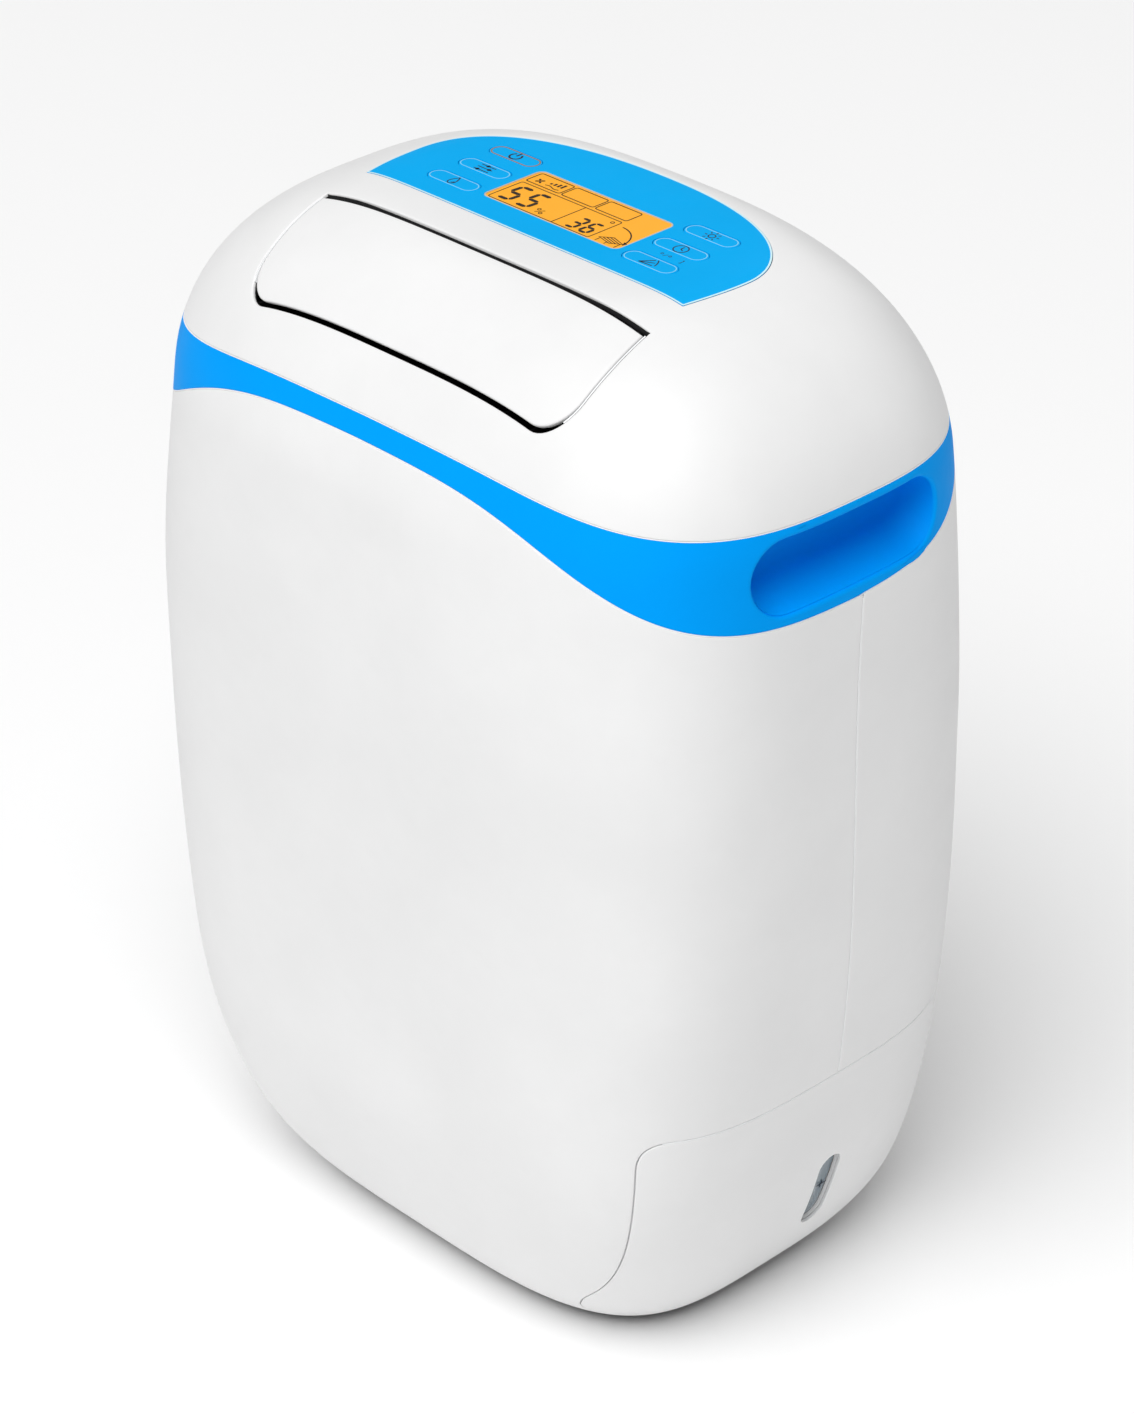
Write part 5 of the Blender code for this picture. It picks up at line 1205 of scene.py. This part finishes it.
def ink(outlines, level, thick=0.00006):
    """Thin slabs from strokes (left, right, closed) and filled outlines."""
    parts = []
    for item in outlines:
        if len(item) == 3:
            left, right, closed = item
            n = len(left)
            points = [(*p, z) for line, z in ((left, level), (right, level), (left, level - thick),
                                              (right, level - thick)) for p in line]
            ring = ring_numbers(n, 4)
            faces = []
            for i in range(n if closed else n - 1):
                j = (i + 1) % n
                faces += [(ring[1][i], ring[1][j], ring[0][j], ring[0][i]),
                          (ring[2][i], ring[2][j], ring[3][j], ring[3][i]),
                          (ring[0][i], ring[0][j], ring[2][j], ring[2][i]),
                          (ring[3][i], ring[3][j], ring[1][j], ring[1][i])]
            if not closed:
                for i in (0, n - 1):
                    faces.append((ring[0][i], ring[1][i], ring[3][i], ring[2][i]))
        else:
            line = item[0]
            n = len(line)
            points = [(*p, level) for p in line] + [(*p, level - thick) for p in line]
            faces = [tuple(range(n)), tuple(range(2 * n - 1, n - 1, -1))]
            faces += [(i, n + i, n + (i + 1) % n, (i + 1) % n) for i in range(n)]
        parts.append(([np.array(p) for p in points], faces))
    return merge(parts)


def stroke(line, width=0.0009, closed=False):
    return (*ribbon(line, width, closed), closed)


def arc(x, y, radius, start, end, steps=24):
    turns = np.radians(np.linspace(start, end, steps))
    return np.column_stack((x + radius * np.cos(turns), y + radius * np.sin(turns)))


def circle(x, y, radius, steps=28):
    return arc(x, y, radius, 0, 360, steps + 1)[:-1]


def icon(name, x, y):
    """Plain signs in place of the keys' captions."""
    k = 0.00125
    fine = 0.00055
    if name == "button_power":
        return [stroke(arc(x, y, 2.2 * k, 125, 415)), stroke([(x, y + 0.3 * k), (x, y + 2.9 * k)])]
    if name == "button_mode":
        bars = []
        for i, knob in enumerate((-1.7, 2.0, -0.3)):
            v = y + (i - 1) * 1.9 * k
            bars.append(stroke([(x - 3.4 * k, v), (x + 3.4 * k, v)], fine))
            bars.append((circle(x + knob * k, v, 0.75 * k),))
        return bars
    if name == "button_humidity":
        t = whole_turn(32)
        drop = np.column_stack((x + 1.95 * k * np.sin(t) * np.sin(t / 2) ** 1.2,
                                y + 0.1 * k + 2.7 * k * np.cos(t)))
        return [stroke(drop, fine, True), stroke(arc(x, y - 0.75 * k, 0.95 * k, 280, 360, 8), fine)]
    if name == "button_dim":
        rays = [stroke([(x + r * k * math.cos(a), y + r * k * math.sin(a)) for r in (2.1, 3.1)], fine)
                for a in np.radians(range(0, 360, 45))]
        return [stroke(circle(x, y, 1.25 * k), fine, True), *rays]
    if name == "button_timer":
        return [stroke(circle(x, y, 2.6 * k), fine, True),
                stroke([(x, y + 1.7 * k), (x, y), (x + 1.3 * k, y - 0.7 * k)], fine)]
    hub = np.array((x - 3.2 * k, y - 2.0 * k))
    vanes = [stroke([hub, hub + (5.6 * k * math.cos(a), 5.6 * k * math.sin(a))], fine)
             for a in np.radians((4, 26, 48))]
    return [*vanes, stroke(arc(*hub, 6.4 * k, 6, 46, 10), fine)]


def degree_mark():
    """The small mark for the second use of two keys: two rings, a slash and a bracket."""
    x, y = (key_centre("button_timer") + key_centre("button_swing")) / 2
    k = 0.001
    marks = [stroke(circle(x - 2.4 * k, y + 0.5 * k, 0.6 * k), 0.0003, True),
             stroke(circle(x + 2.0 * k, y + 0.5 * k, 0.6 * k), 0.0003, True),
             stroke([(x - 0.8 * k, y - 0.9 * k), (x + 0.5 * k, y + 1.1 * k)], 0.0003),
             stroke([(x + 8.6 * k, y - 1.4 * k), (x + 9.2 * k, y - 1.4 * k), (x + 9.2 * k, y + 1.4 * k),
                     (x + 8.6 * k, y + 1.4 * k)], 0.0003)]
    build("degree_mark", *ink(marks, TOP_LEVEL + 0.00002, 0.0006), INK, "housing", slot="panel_blue")


def key_outlines(margin):
    """The outlines of the keys, grown by a margin."""
    return [stadium(*key_centre(name), BUTTON_HALF + margin, BUTTON_WIDE / 2 + margin, 12)
            for name in BUTTONS]


def key_caps():
    """The keys, each with a cap on a narrower stem, its printed outline and its sign."""
    top = TOP_LEVEL - 0.0001
    ink_top = top + 0.00008
    under = top - 0.0007  # the underside of the cap
    profile = ((0.0016, 0.4660), (0.0016, under), (0.0, under), (0.0, top - 0.0002),
               (0.0001, top - 0.00006), (0.0003, top), (0.0020, top + 0.00004))
    for name in BUTTONS:
        x, y = key_centre(name)
        body = name.replace("button", "key")

        def ring(inset):
            return stadium(x, y, BUTTON_HALF - inset, BUTTON_WIDE / 2 - inset, 14, 0.002)

        n = len(ring(0.0))
        rows = []
        for inset, level in profile:
            line = ring(inset)
            line = line if len(line) == n else resample(line, n)
            rows.append(np.column_stack((line, np.full(n, level))))
        faces = [tuple(range(n - 1, -1, -1)), tuple((len(rows) - 1) * n + i for i in range(n))]
        faces += stack(n, len(rows))
        build(f"{body}_cap", np.vstack(rows), faces, PANEL_BLUE, body, [name], "button_blue")
        width, finish = (0.0007, RUST_INK) if name == "button_power" else (0.0004, PALE_INK)
        outline = ink([stroke(ring(0.0009), width, True)], ink_top)
        build(f"{body}_outline", *outline, finish, body, slot="button_blue")
        build(f"{body}_sign", *ink(icon(name, x, y), ink_top), INK, body, slot="button_blue")


def panel():
    """The printed overlay with a pale rim along its edge, which is a painted highlight, and the plate under
    it that carries the keys.
    """
    window = rounded_rectangle(LCD_LOW, LCD_HIGH, 0.0036)
    lattice = np.array([(x, y) for x in np.arange(-0.096, 0.0961, 0.0032)
                        for y in np.arange(-0.019, 0.062, 0.0032)])
    loops = [panel_outline(), window, *key_outlines(0.00022)]
    shell("panel_overlay", loops, plan_chart, lattice, PANEL_BLUE,
          "housing", ["control_panel"], "panel_blue", wall=0.0009, roll=0.00018, graded=(0.0004,))
    # A thin pale rim along the panel's edge: a painted highlight.
    points, normals = plan_chart(panel_outline(-0.0004))
    stations = list(zip(points, unit(np.cross(normals, heading(points))), normals))
    profile = [(-0.0004, -0.00006), (0.00035, -0.00006), (0.00035, 0.00005), (-0.0004, 0.00005)]
    build("panel_rim_highlight", *sweep(stations, profile, True), PANEL_EDGE_HIGHLIGHT, "housing", slot="panel_blue")
    grown = rounded_rectangle(np.subtract(LCD_LOW, 0.0025), np.add(LCD_HIGH, 0.0025), 0.004)
    plate = rounded_rectangle((-0.0765, -0.0115), (0.0765, 0.0405), 0.004)
    shell("panel_base", [plate, grown, *key_outlines(-0.0010)], level_chart(0.4722), [], PANEL_BLUE,
          "housing", (), "panel_blue", wall=0.0006, roll=0.0001, graded=(0.0004,))
    key_caps()
    degree_mark()


def resample(loop, count):
    """The same closed outline with this many points."""
    steps = np.linalg.norm(np.roll(loop, -1, 0) - loop, axis=1)
    travelled = np.concatenate(([0.0], np.cumsum(steps)))
    marks = np.linspace(0, travelled[-1], count + 1)[:-1]
    closed = np.vstack((loop, loop[:1]))
    return np.column_stack([np.interp(marks, travelled, closed[:, i]) for i in (0, 1)])


SEGMENTS = {"3": "abgcd", "5": "afgcd", "6": "afgedc"}


def digit(mark, u, v, width, height, weight=0.0016, lean=0.09):
    """A seven-segment figure as filled outlines, from its lower left corner."""
    w = width - weight
    half = (height - weight) / 2
    lines = {
        "a": ((0, 2 * half), (w, 2 * half)), "g": ((0, half), (w, half)), "d": ((0, 0), (w, 0)),
        "f": ((0, half), (0, 2 * half)), "b": ((w, half), (w, 2 * half)),
        "e": ((0, 0), (0, half)), "c": ((w, 0), (w, half)),
    }
    made = []
    for key in SEGMENTS[mark]:
        start, end = (np.array(p, float) + weight / 2 for p in lines[key])
        along = unit(end - start)
        across = np.array((-along[1], along[0])) * weight / 2
        gap = weight * 0.14
        a = start + along * gap
        b = end - along * gap
        tip = weight / 2
        shape = [a, a + along * tip + across, b - along * tip + across, b, b - along * tip - across,
                 a + along * tip - across]
        made.append((np.array([(u + p[0] + lean * p[1], v + p[1]) for p in shape]),))
    return made


def lcd():
    """The lit display with its figures, frames and signs."""
    x0, y0 = LCD_LOW
    k = 0.001
    level = PANEL_TOP - 0.00025
    face = rounded_rectangle(np.add(LCD_LOW, 0.0002), np.subtract(LCD_HIGH, 0.0002), 0.0034)
    shell("lcd_face", [face], level_chart(level), [], AMBER, "housing", ["display_lens"], "lcd_lens",
          wall=0.0010, roll=0.0001, graded=(0.0004,))
    rim = rounded_rectangle(np.add(LCD_LOW, 0.00035), np.subtract(LCD_HIGH, 0.00035), 0.0033)
    build("lcd_rim", *ink([stroke(rim, 0.0006, True)], PANEL_TOP + 0.00005, 0.0004), SAND_INK, "housing",
          slot="inner_white")

    def box(u0, v0, u1, v1, width=0.0005, corner=0.0012):
        line = rounded_rectangle((x0 + u0 * k, y0 + v0 * k), (x0 + u1 * k, y0 + v1 * k), corner)
        return stroke(line, width, True)

    def at(u, v):
        return np.array((x0 + u * k, y0 + v * k))

    thin = [box(2.3, 23.4, 22.0, 33.0), box(23.2, 23.4, 42.0, 33.0), box(43.2, 23.4, 61.6, 33.0),
            box(2.6, 1.6, 61.6, 21.4, 0.00045), stroke([at(40.2, 1.8), at(40.2, 21.2)], 0.00045)]
    bold = []
    for mark, u in (("5", 4.6), ("5", 15.2)):
        bold += digit(mark, *at(u, 3.6), 0.0080, 0.0152, 0.0019)
    for mark, u in (("3", 45.4), ("6", 53.0)):
        bold += digit(mark, *at(u, 3.0), 0.0058, 0.0112, 0.0015)
    fine = 0.0004
    percent = [stroke(circle(*at(u, v), 0.00075), fine, True) for u, v in ((27.9, 6.9), (30.9, 4.5))]
    signs = [*percent, stroke([at(28.0, 4.0), at(30.9, 7.4)], fine)]
    signs.append(stroke(circle(*at(58.6, 18.6), 0.0008), fine, True))
    hub = at(7.3, 26.9)
    for i in range(4):
        turn = math.radians(45 + 90 * i)
        t = whole_turn(16)
        petal = np.column_stack((1.25 * k + 1.0 * k * np.cos(t), 0.55 * k * np.sin(t)))
        c, s = math.cos(turn), math.sin(turn)
        signs.append((petal @ np.array(((c, s), (-s, c))) + hub,))
    for i, height in enumerate((1.2, 2.0, 2.8, 3.6)):
        u, v = 12.2 + i * 2.0, 27.6
        corners = (at(u, v), at(u + 1.1, v), at(u + 1.1, v + height), at(u, v + height))
        signs.append((np.array(corners),))
    wave = [at(11.6 + t * 8.0, 25.6 + 0.55 * math.sin(t * 2 * math.pi)) for t in np.linspace(0, 1, 20)]
    signs.append(stroke(wave, 0.00045))
    swing = arc(*at(64.6, 5.6), 0.0126, 8, 88, 22)
    signs.append(stroke(swing, 0.0006))
    tip = swing[0]
    signs.append((np.array((tip + (0.0010, 0.0004), tip + (-0.0012, 0.0010), tip + (0.0003, -0.0019))),))
    fan = [at(64.6, 5.2), at(69.8, 8.6), at(77.0, 6.4), at(71.8, 3.4)]
    signs.append(stroke(fan, 0.00045, True))
    for t in (0.25, 0.5, 0.75):
        a = fan[0] + (fan[1] - fan[0]) * t
        b = fan[3] + (fan[2] - fan[3]) * t
        signs.append(stroke([a, b], fine))
    signs += [stroke([at(u, 1.8), at(u, v)], fine) for u, v in ((65.6, 4.6), (70.6, 3.4), (76.2, 5.8))]
    build("lcd_lines", *ink(thin, level + 0.00007), LCD_INK, "housing", slot="black_plastic")
    build("lcd_figures", *ink(bold, level + 0.00009), LCD_INK, "housing", slot="black_plastic")
    build("lcd_signs", *ink(signs, level + 0.00008), LCD_INK, "housing", slot="black_plastic")


# ---------------------------------------------------------------- rear
def grille():
    """The intake door: rounded louvre slats in a frame that follows the rear face."""
    edge = 0.0060
    half = GRILLE_HALF
    bottom = GRILLE_Z[0] + edge
    pitch = (GRILLE_Z[1] - GRILLE_Z[0] - 2 * edge) / (GRILLE_SLATS + 0.55)

    def face(x, z):
        return np.array((x, float(rear_y(x, z)), z))

    def out(x, z):
        tangent = face(x + 5e-4, z) - face(x - 5e-4, z)
        rise = face(x, z + 5e-4) - face(x, z - 5e-4)
        way = unit(np.cross(rise, tangent))
        return way if way[1] > 0 else -way

    parts = []
    for i in range(GRILLE_SLATS):
        z = bottom + pitch * (i + 0.775)
        stations = []
        for x in np.linspace(-half + 0.004, half - 0.004, 44):
            outward = out(x, z)
            lean = unit(UP * 0.94 - outward * 0.34)
            stations.append((face(x, z) - outward * 0.0019, -unit(np.cross(lean, ALONG_X)), lean))
        parts.append(sweep(stations, rounded_profile(0.0011, 0.0036, 0.0009)))
    for x in (-0.0365, 0.0365):
        stations = []
        for z in np.linspace(GRILLE_Z[0] + 0.004, GRILLE_Z[1] - 0.004, 40):
            outward = out(x, z)
            stations.append((face(x, z) - outward * 0.0017, ALONG_X, outward))
        parts.append(sweep(stations, rounded_profile(0.0022, 0.0014, 0.0007)))
    inset = edge / 2
    line = rounded_rectangle((-half + inset, GRILLE_Z[0] + inset), (half - inset, GRILLE_Z[1] - inset),
                             0.0035, 6)
    stations = []
    for (x, z), (tx, tz) in zip(line, heading(line)):
        outward = out(x, z)
        tangent = unit(face(x + tx * 5e-4, z + tz * 5e-4) - face(x - tx * 5e-4, z - tz * 5e-4))
        stations.append((face(x, z) - outward * 0.0015, unit(np.cross(tangent, outward)), outward))
    parts.append(sweep(stations, rounded_profile(inset - 0.0001, 0.0014, 0.0009), True))
    build("grille_door", *merge(parts), WHITE, "filter_door", ["rear_grille"], "casing_white")
    low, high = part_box("filter_frame")
    y = (low.y + high.y) / 2
    line = rounded_rectangle((low.x + 0.002, low.z + 0.002), (high.x - 0.002, high.z - 0.002), 0.004)
    stations = [(np.array((p[0], y, p[1])), np.array((t[1], 0.0, -t[0])), ALONG_Y)
                for p, t in zip(line, heading(line))]
    parts = [sweep(stations, rounded_profile(0.0019, 0.0024, 0.0007), True)]
    thin = rounded_profile(0.001, 0.002, 0.0005)
    for x in (-0.0345, 0.0345):
        upright = [(x, y, z) for z in np.linspace(low.z + 0.003, high.z - 0.003, 6)]
        parts.append(bar(upright, ALONG_X, ALONG_Y, thin))
    level = [(x, y, 0.27) for x in np.linspace(low.x + 0.003, high.x - 0.003, 6)]
    parts.append(bar(level, UP, ALONG_Y, thin))
    build("filter_bars", *merge(parts), GREY, "filter_door", ["filter_frame"], "grey_plastic")


def cross_screw(name, x, y, z):
    """A pan-head screw with a cross recess."""
    head = [(0.0036, 0.0), (0.0036, 0.0008), (0.0030, 0.0016), (0.0020, 0.0020)]
    profile = [(0, -0.0120), (0.0014, -0.0118), (0.0015, -0.0005), (0.0015, 0.0), *head, (0, 0.0022)]
    points, faces = lathe(profile, (x, y, z), "Y", 32)
    made = build(f"{name}_head", points, faces, STEEL, "housing", [name], "steel_bright")
    blades = []
    centre = np.array((x, y + 0.0022, z))
    for along, across in ((ALONG_X, UP), (UP, ALONG_X)):
        reach = along * 0.0019
        blades.append(bar((centre - reach, centre + reach), across, ALONG_Y,
                          rounded_profile(0.00032, 0.0009, 0.0001, 1)))
    cutter = build(f"{name}_cross", *merge(blades), STEEL, "housing")
    cut(made, cutter)


def cut(target, cutter):
    """One piece cut out of another, and the cutter removed."""
    step = target.modifiers.new("cut", "BOOLEAN")
    step.operation = "DIFFERENCE"
    step.solver = "EXACT"
    step.use_self = True
    step.object = cutter
    graph = bpy.context.evaluated_depsgraph_get()
    mesh = bpy.data.meshes.new_from_object(target.evaluated_get(graph))
    target.modifiers.clear()
    old = target.data
    target.data = mesh
    bpy.data.meshes.remove(old)
    bpy.data.objects.remove(cutter, do_unlink=True)


def rear_fittings():
    for number, (x, z) in enumerate(SCREWS, 1):
        cross_screw(f"case_screw_{number}", x, float(rear_y(x, z)) - 0.0066 + 0.0001, z)
    x, z = GLAND_PLACE
    y = float(rear_y(x, z)) + 0.0005
    sleeve = [(0.0036, -0.0150), (0.0068, -0.0150), (0.0068, 0.0004), (0.0095, 0.0004), (0.0096, 0.0008),
              (0.0092, 0.0014), (0.0080, 0.0017), (0.0052, 0.0018), (0.0042, 0.0014), (0.0037, 0.0006)]
    build("gland_sleeve", *lathe(sleeve, (x, y, z), "Y", 40), BLACK, "housing", ["cord_gland"],
          "black_plastic")
    plug = lathe(((0, -0.0022), (0.0034, -0.0022), (0.0035, -0.0018), (0.0035, -0.0010), (0, -0.0010)),
                 (x, y, z), "Y", 32)
    build("gland_membrane", *plug, RUBBER, "housing", slot="rubber_black")
    x, z = DRAIN_PLACE
    y = float(rear_y(x, z))
    cap = [(0, -0.0100), (0.0041, -0.0098), (0.0043, -0.0080), (0.0040, -0.0070), (0.0043, -0.0060),
           (0.0040, -0.0048), (0.0043, -0.0036), (0.0043, 0.0006), (0.0080, 0.0006), (0.0085, 0.0009),
           (0.0084, 0.0014), (0.0078, 0.0018), (0.0050, 0.0018), (0.0046, 0.0015), (0, 0.0014)]
    build("plug_cap", *lathe(cap, (x, y, z), "Y", 44), RUBBER, "plug", ["drain_plug"], "rubber_black")
    grip = bar([(x + t, y + 0.0015, z) for t in np.linspace(-0.0036, 0.0036, 5)], UP, ALONG_Y,
               rounded_profile(0.0006, 0.0005, 0.0003))
    build("plug_grip", *grip, RUBBER, "plug", slot="rubber_black")


def feet():
    for number in range(1, 5):
        low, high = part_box(f"foot_{number}")
        x = (low.x + high.x) / 2
        y = (low.y + high.y) / 2
        profile = [(0, 0.0006), (0.0040, 0.0006), (0.0046, 0.0), (0.0098, 0.0), (0.0107, 0.0004),
                   (0.0110, 0.0012), (0.0110, high.z - 0.0002), (0, high.z)]
        build(f"foot_pad_{number}", *lathe(profile, (x, y, 0.0), "Z", 44), RUBBER, "housing",
              [f"foot_{number}"], "rubber_black")


# ---------------------------------------------------------------- tank
def tank_plan(z, margin, count=72):
    """The tank's plan at a height: a soft rectangle that follows the tapering side of the body."""
    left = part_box("water_tank")[0].x
    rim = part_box("water_tank")[1].z
    right = float(section(np.float64(max(z, TANK_FLOOR_Z)))[0]) - 0.0085
    t = max(z - TANK_FLOOR_Z, 0.0) / (rim - TANK_FLOOR_Z)
    half_y = 0.0750 + 0.0135 * math.sqrt(t) - margin
    half_x = (right - left) / 2 - margin
    turns = 2 * math.pi * (np.arange(count) + 0.5) / count
    c = np.cos(turns)
    s = np.sin(turns)
    radius = ((np.abs(c) / half_x) ** 4.2 + (np.abs(s) / half_y) ** 4.2) ** (-1 / 4.2)
    return np.column_stack(((right + left) / 2 + radius * c, radius * s, np.full(count, z)))


def tank():
    """The tub with a turned-over rim, and its lid."""
    low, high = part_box("water_tank")
    wall = 0.0018
    rises = [(low.z, 0.0130), (low.z + 0.0006, 0.0085), (low.z + 0.0022, 0.0045), (low.z + 0.0050, 0.0015),
             (low.z + 0.0100, 0.0)]
    rises += [(z, 0.0) for z in np.linspace(low.z + 0.016, high.z - 0.004, 14)]
    outer = [tank_plan(z, margin) for z, margin in rises]
    outer += [tank_plan(high.z - drop, margin)
              for drop, margin in ((0.0035, 0.0), (0.0010, 0.0001), (0.0, 0.0006))]
    inner = [tank_plan(high.z, wall - 0.0002)]
    inner += [tank_plan(z, margin + wall) for z, margin in reversed(rises)]
    rows = outer + inner
    for row in rows[len(outer) + 1:]:
        row[:, 2] = np.maximum(row[:, 2], low.z + wall)
    count = len(rows[0])
    points = np.vstack(rows)
    faces = stack(count, len(rows))
    faces.append(tuple(range(count - 1, -1, -1)))
    faces.append(tuple((len(rows) - 1) * count + i for i in range(count)))
    build("tank_tub", points, faces, TANK_CLEAR, "tank", ["water_tank"], "tank_clear", weld=1e-6)
    low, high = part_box("tank_lid")
    rim = tank_plan(high.z, 0.0)[:, :2]
    rim = rim + unit(rim - rim.mean(0)) * -0.0006
    inlet = circle(0.060, 0.062, 0.014, 40)
    pour = rounded_rectangle((0.118, -0.050), (0.146, -0.020), 0.005)
    shell("tank_cap", [rim, inlet, pour], level_chart(high.z), [], INNER_WHITE, "tank", ["tank_lid"],
          "inner_white", wall=high.z - low.z, roll=0.0006, graded=(0.0006,))
    ribs = []
    for y in (-0.030, -0.010, 0.010, 0.030):
        line = [(x, y, high.z + 0.0003) for x in np.linspace(0.012, 0.105, 12)]
        ribs.append(bar(line, ALONG_Y, UP, rounded_profile(0.0007, 0.0006, 0.0003)))
    build("tank_cap_ribs", *merge(ribs), INNER_WHITE, "tank", slot="inner_white")


def tank_float():
    low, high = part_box("tank_float")
    x = low.x
    middle = (low + high) / 2
    z = 0.1130
    block = rounded_profile(0.0155, 0.0078, 0.0035, 5)
    stations = []
    for t, share in ((0.0, 0.86), (0.06, 0.96), (0.15, 1.0), (0.85, 1.0), (0.94, 0.96), (1.0, 0.86)):
        place = np.array((x + 0.0135 + 0.032 * t, middle.y, z - 0.003))
        stations.append((place, ALONG_Y * share, UP * share))
    build("float_block", *sweep(stations, block), FOAM, "float", ["tank_float"], "foam_white")
    arm = bar([(x + 0.001 + t, middle.y, z) for t in (0.0, 0.006, 0.013)], ALONG_Y, UP,
              rounded_profile(0.0035, 0.0012, 0.0005))
    build("float_arm", *arm, INNER_WHITE, "float", slot="foam_white")


# ---------------------------------------------------------------- inner pieces that stay as they are
INNER_FINISHES = {
    "air_duct": BLACK, "base_tray": BLACK, "compressor": ENAMEL, "compressor_grommet_1": RUBBER,
    "compressor_grommet_2": RUBBER, "compressor_grommet_3": RUBBER, "condenser_fins": FIN_STACK,
    "condenser_tube": COPPER, "discharge_pipe": COPPER, "display_board": CIRCUIT, "display_module": AMBER,
    "drain_port": INNER_WHITE, "drip_tray": INNER_WHITE, "electronics_box": BLACK,
    "evaporator_fins": FIN_STACK, "evaporator_tube": COPPER, "fan_motor": STEEL,
    "fan_scroll": GREY, "fan_wheel": GREY,
    "filter_drier": COPPER, "filter_mesh": NET, "flap_motor": STEEL, "flap_shaft": STEEL,
    "main_board": CIRCUIT, "run_capacitor": ALUMINIUM, "suction_accumulator": COPPER, "suction_pipe": COPPER,
    "tank_bay": INNER_WHITE, "tank_switch": BLACK,
}


def inner_pieces():
    """The pieces whose shape is right keep it, with their edges rounded and a finish of their own."""
    for name, finish in INNER_FINISHES.items():
        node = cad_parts[name]
        node.data.materials.clear()
        node.data.materials.append(finish)
        join = node.modifiers.new("weld", "WELD")
        join.merge_threshold = 1e-5
        for polygon in node.data.polygons:
            polygon.use_smooth = True
        edge = node.modifiers.new("edges", "BEVEL")
        edge.width = 0.0003
        edge.segments = 2
        edge.limit_method = "ANGLE"
        edge.angle_limit = math.radians(35)
        edge.harden_normals = True


# ---------------------------------------------------------------- stage
def stage():
    """The floor, the sky and two soft lights."""
    reach = 14.0
    mesh = bpy.data.meshes.new("floor")
    corners = [(-reach, -reach, 0), (reach, -reach, 0), (reach, reach, 0), (-reach, reach, 0)]
    mesh.from_pydata(corners, [], [(0, 1, 2, 3)])
    floor = bpy.data.objects.new("floor", mesh)
    bpy.context.scene.collection.objects.link(floor)
    finish = bpy.data.materials.new("pale_floor")
    finish.use_nodes = True
    shader = finish.node_tree.nodes["Principled BSDF"]
    shader.inputs["Base Color"].default_value = (0.97, 0.97, 0.97, 1.0)
    shader.inputs["Roughness"].default_value = 0.9
    shader.inputs["Specular IOR Level"].default_value = 0.1
    mesh.materials.append(finish)

    world = bpy.data.worlds.new("studio")
    world.use_nodes = True
    sky = world.node_tree.nodes["Background"]
    sky.inputs["Color"].default_value = (1.0, 1.0, 1.0, 1.0)
    sky.inputs["Strength"].default_value = 0.25
    bpy.context.scene.world = world

    def soft_light(name, azimuth, elevation, distance, size, power):
        light = bpy.data.lights.new(name, "AREA")
        light.shape = "DISK"
        light.size = size
        light.energy = power
        made = bpy.data.objects.new(name, light)
        a = math.radians(azimuth)
        e = math.radians(elevation)
        way = Vector((math.sin(a) * math.cos(e), -math.cos(a) * math.cos(e), math.sin(e)))
        made.location = Vector((0, 0, 0.24)) + way * distance
        made.rotation_mode = "QUATERNION"
        made.rotation_quaternion = (-way).to_track_quat("-Z", "Y")
        bpy.context.scene.collection.objects.link(made)

    soft_light("key", 23.0, 62.0, 12.0, 11.0, 1460.0)
    soft_light("fill", 205.0, 40.0, 12.0, 8.0, 110.0)


def camera():
    """The view of the photograph: its angle, distance and framing."""
    azimuth = math.radians(46.614)
    elevation = math.radians(30.365)
    distance = 1.8727
    target = Vector((0.0, 0.0, 0.2437))
    roll = math.radians(-0.766)
    way = Vector((math.sin(azimuth) * math.cos(elevation), -math.cos(azimuth) * math.cos(elevation),
                  math.sin(elevation)))
    right = Vector((math.cos(azimuth), math.sin(azimuth), 0.0))
    up = way.cross(right)
    tilted_right = right * math.cos(roll) + up * math.sin(roll)
    tilted_up = up * math.cos(roll) - right * math.sin(roll)
    lens = bpy.data.cameras.new("camera")
    picture = 1414  # the photograph's height, and below the focal length and shifts, in its pixels
    lens.sensor_width = 36.0
    lens.lens = lens.sensor_width * 4331.2 / picture
    lens.shift_x = 4.978 / picture
    lens.shift_y = 0.576 / picture
    lens.clip_start = 0.05
    lens.clip_end = 100.0
    made = bpy.data.objects.new("camera", lens)
    made.matrix_world = Matrix((tilted_right, tilted_up, way)).transposed().to_4x4()
    made.location = target + way * distance
    bpy.context.scene.collection.objects.link(made)
    bpy.context.scene.camera = made
    bpy.context.scene.view_settings.view_transform = "Standard"


def main():
    camera()
    stage()
    casing()
    tank_front()
    seam_lips()
    band()
    crown()
    flap()
    outlet()
    panel()
    lcd()
    grille()
    rear_fittings()
    feet()
    tank()
    tank_float()
    inner_pieces()


main()
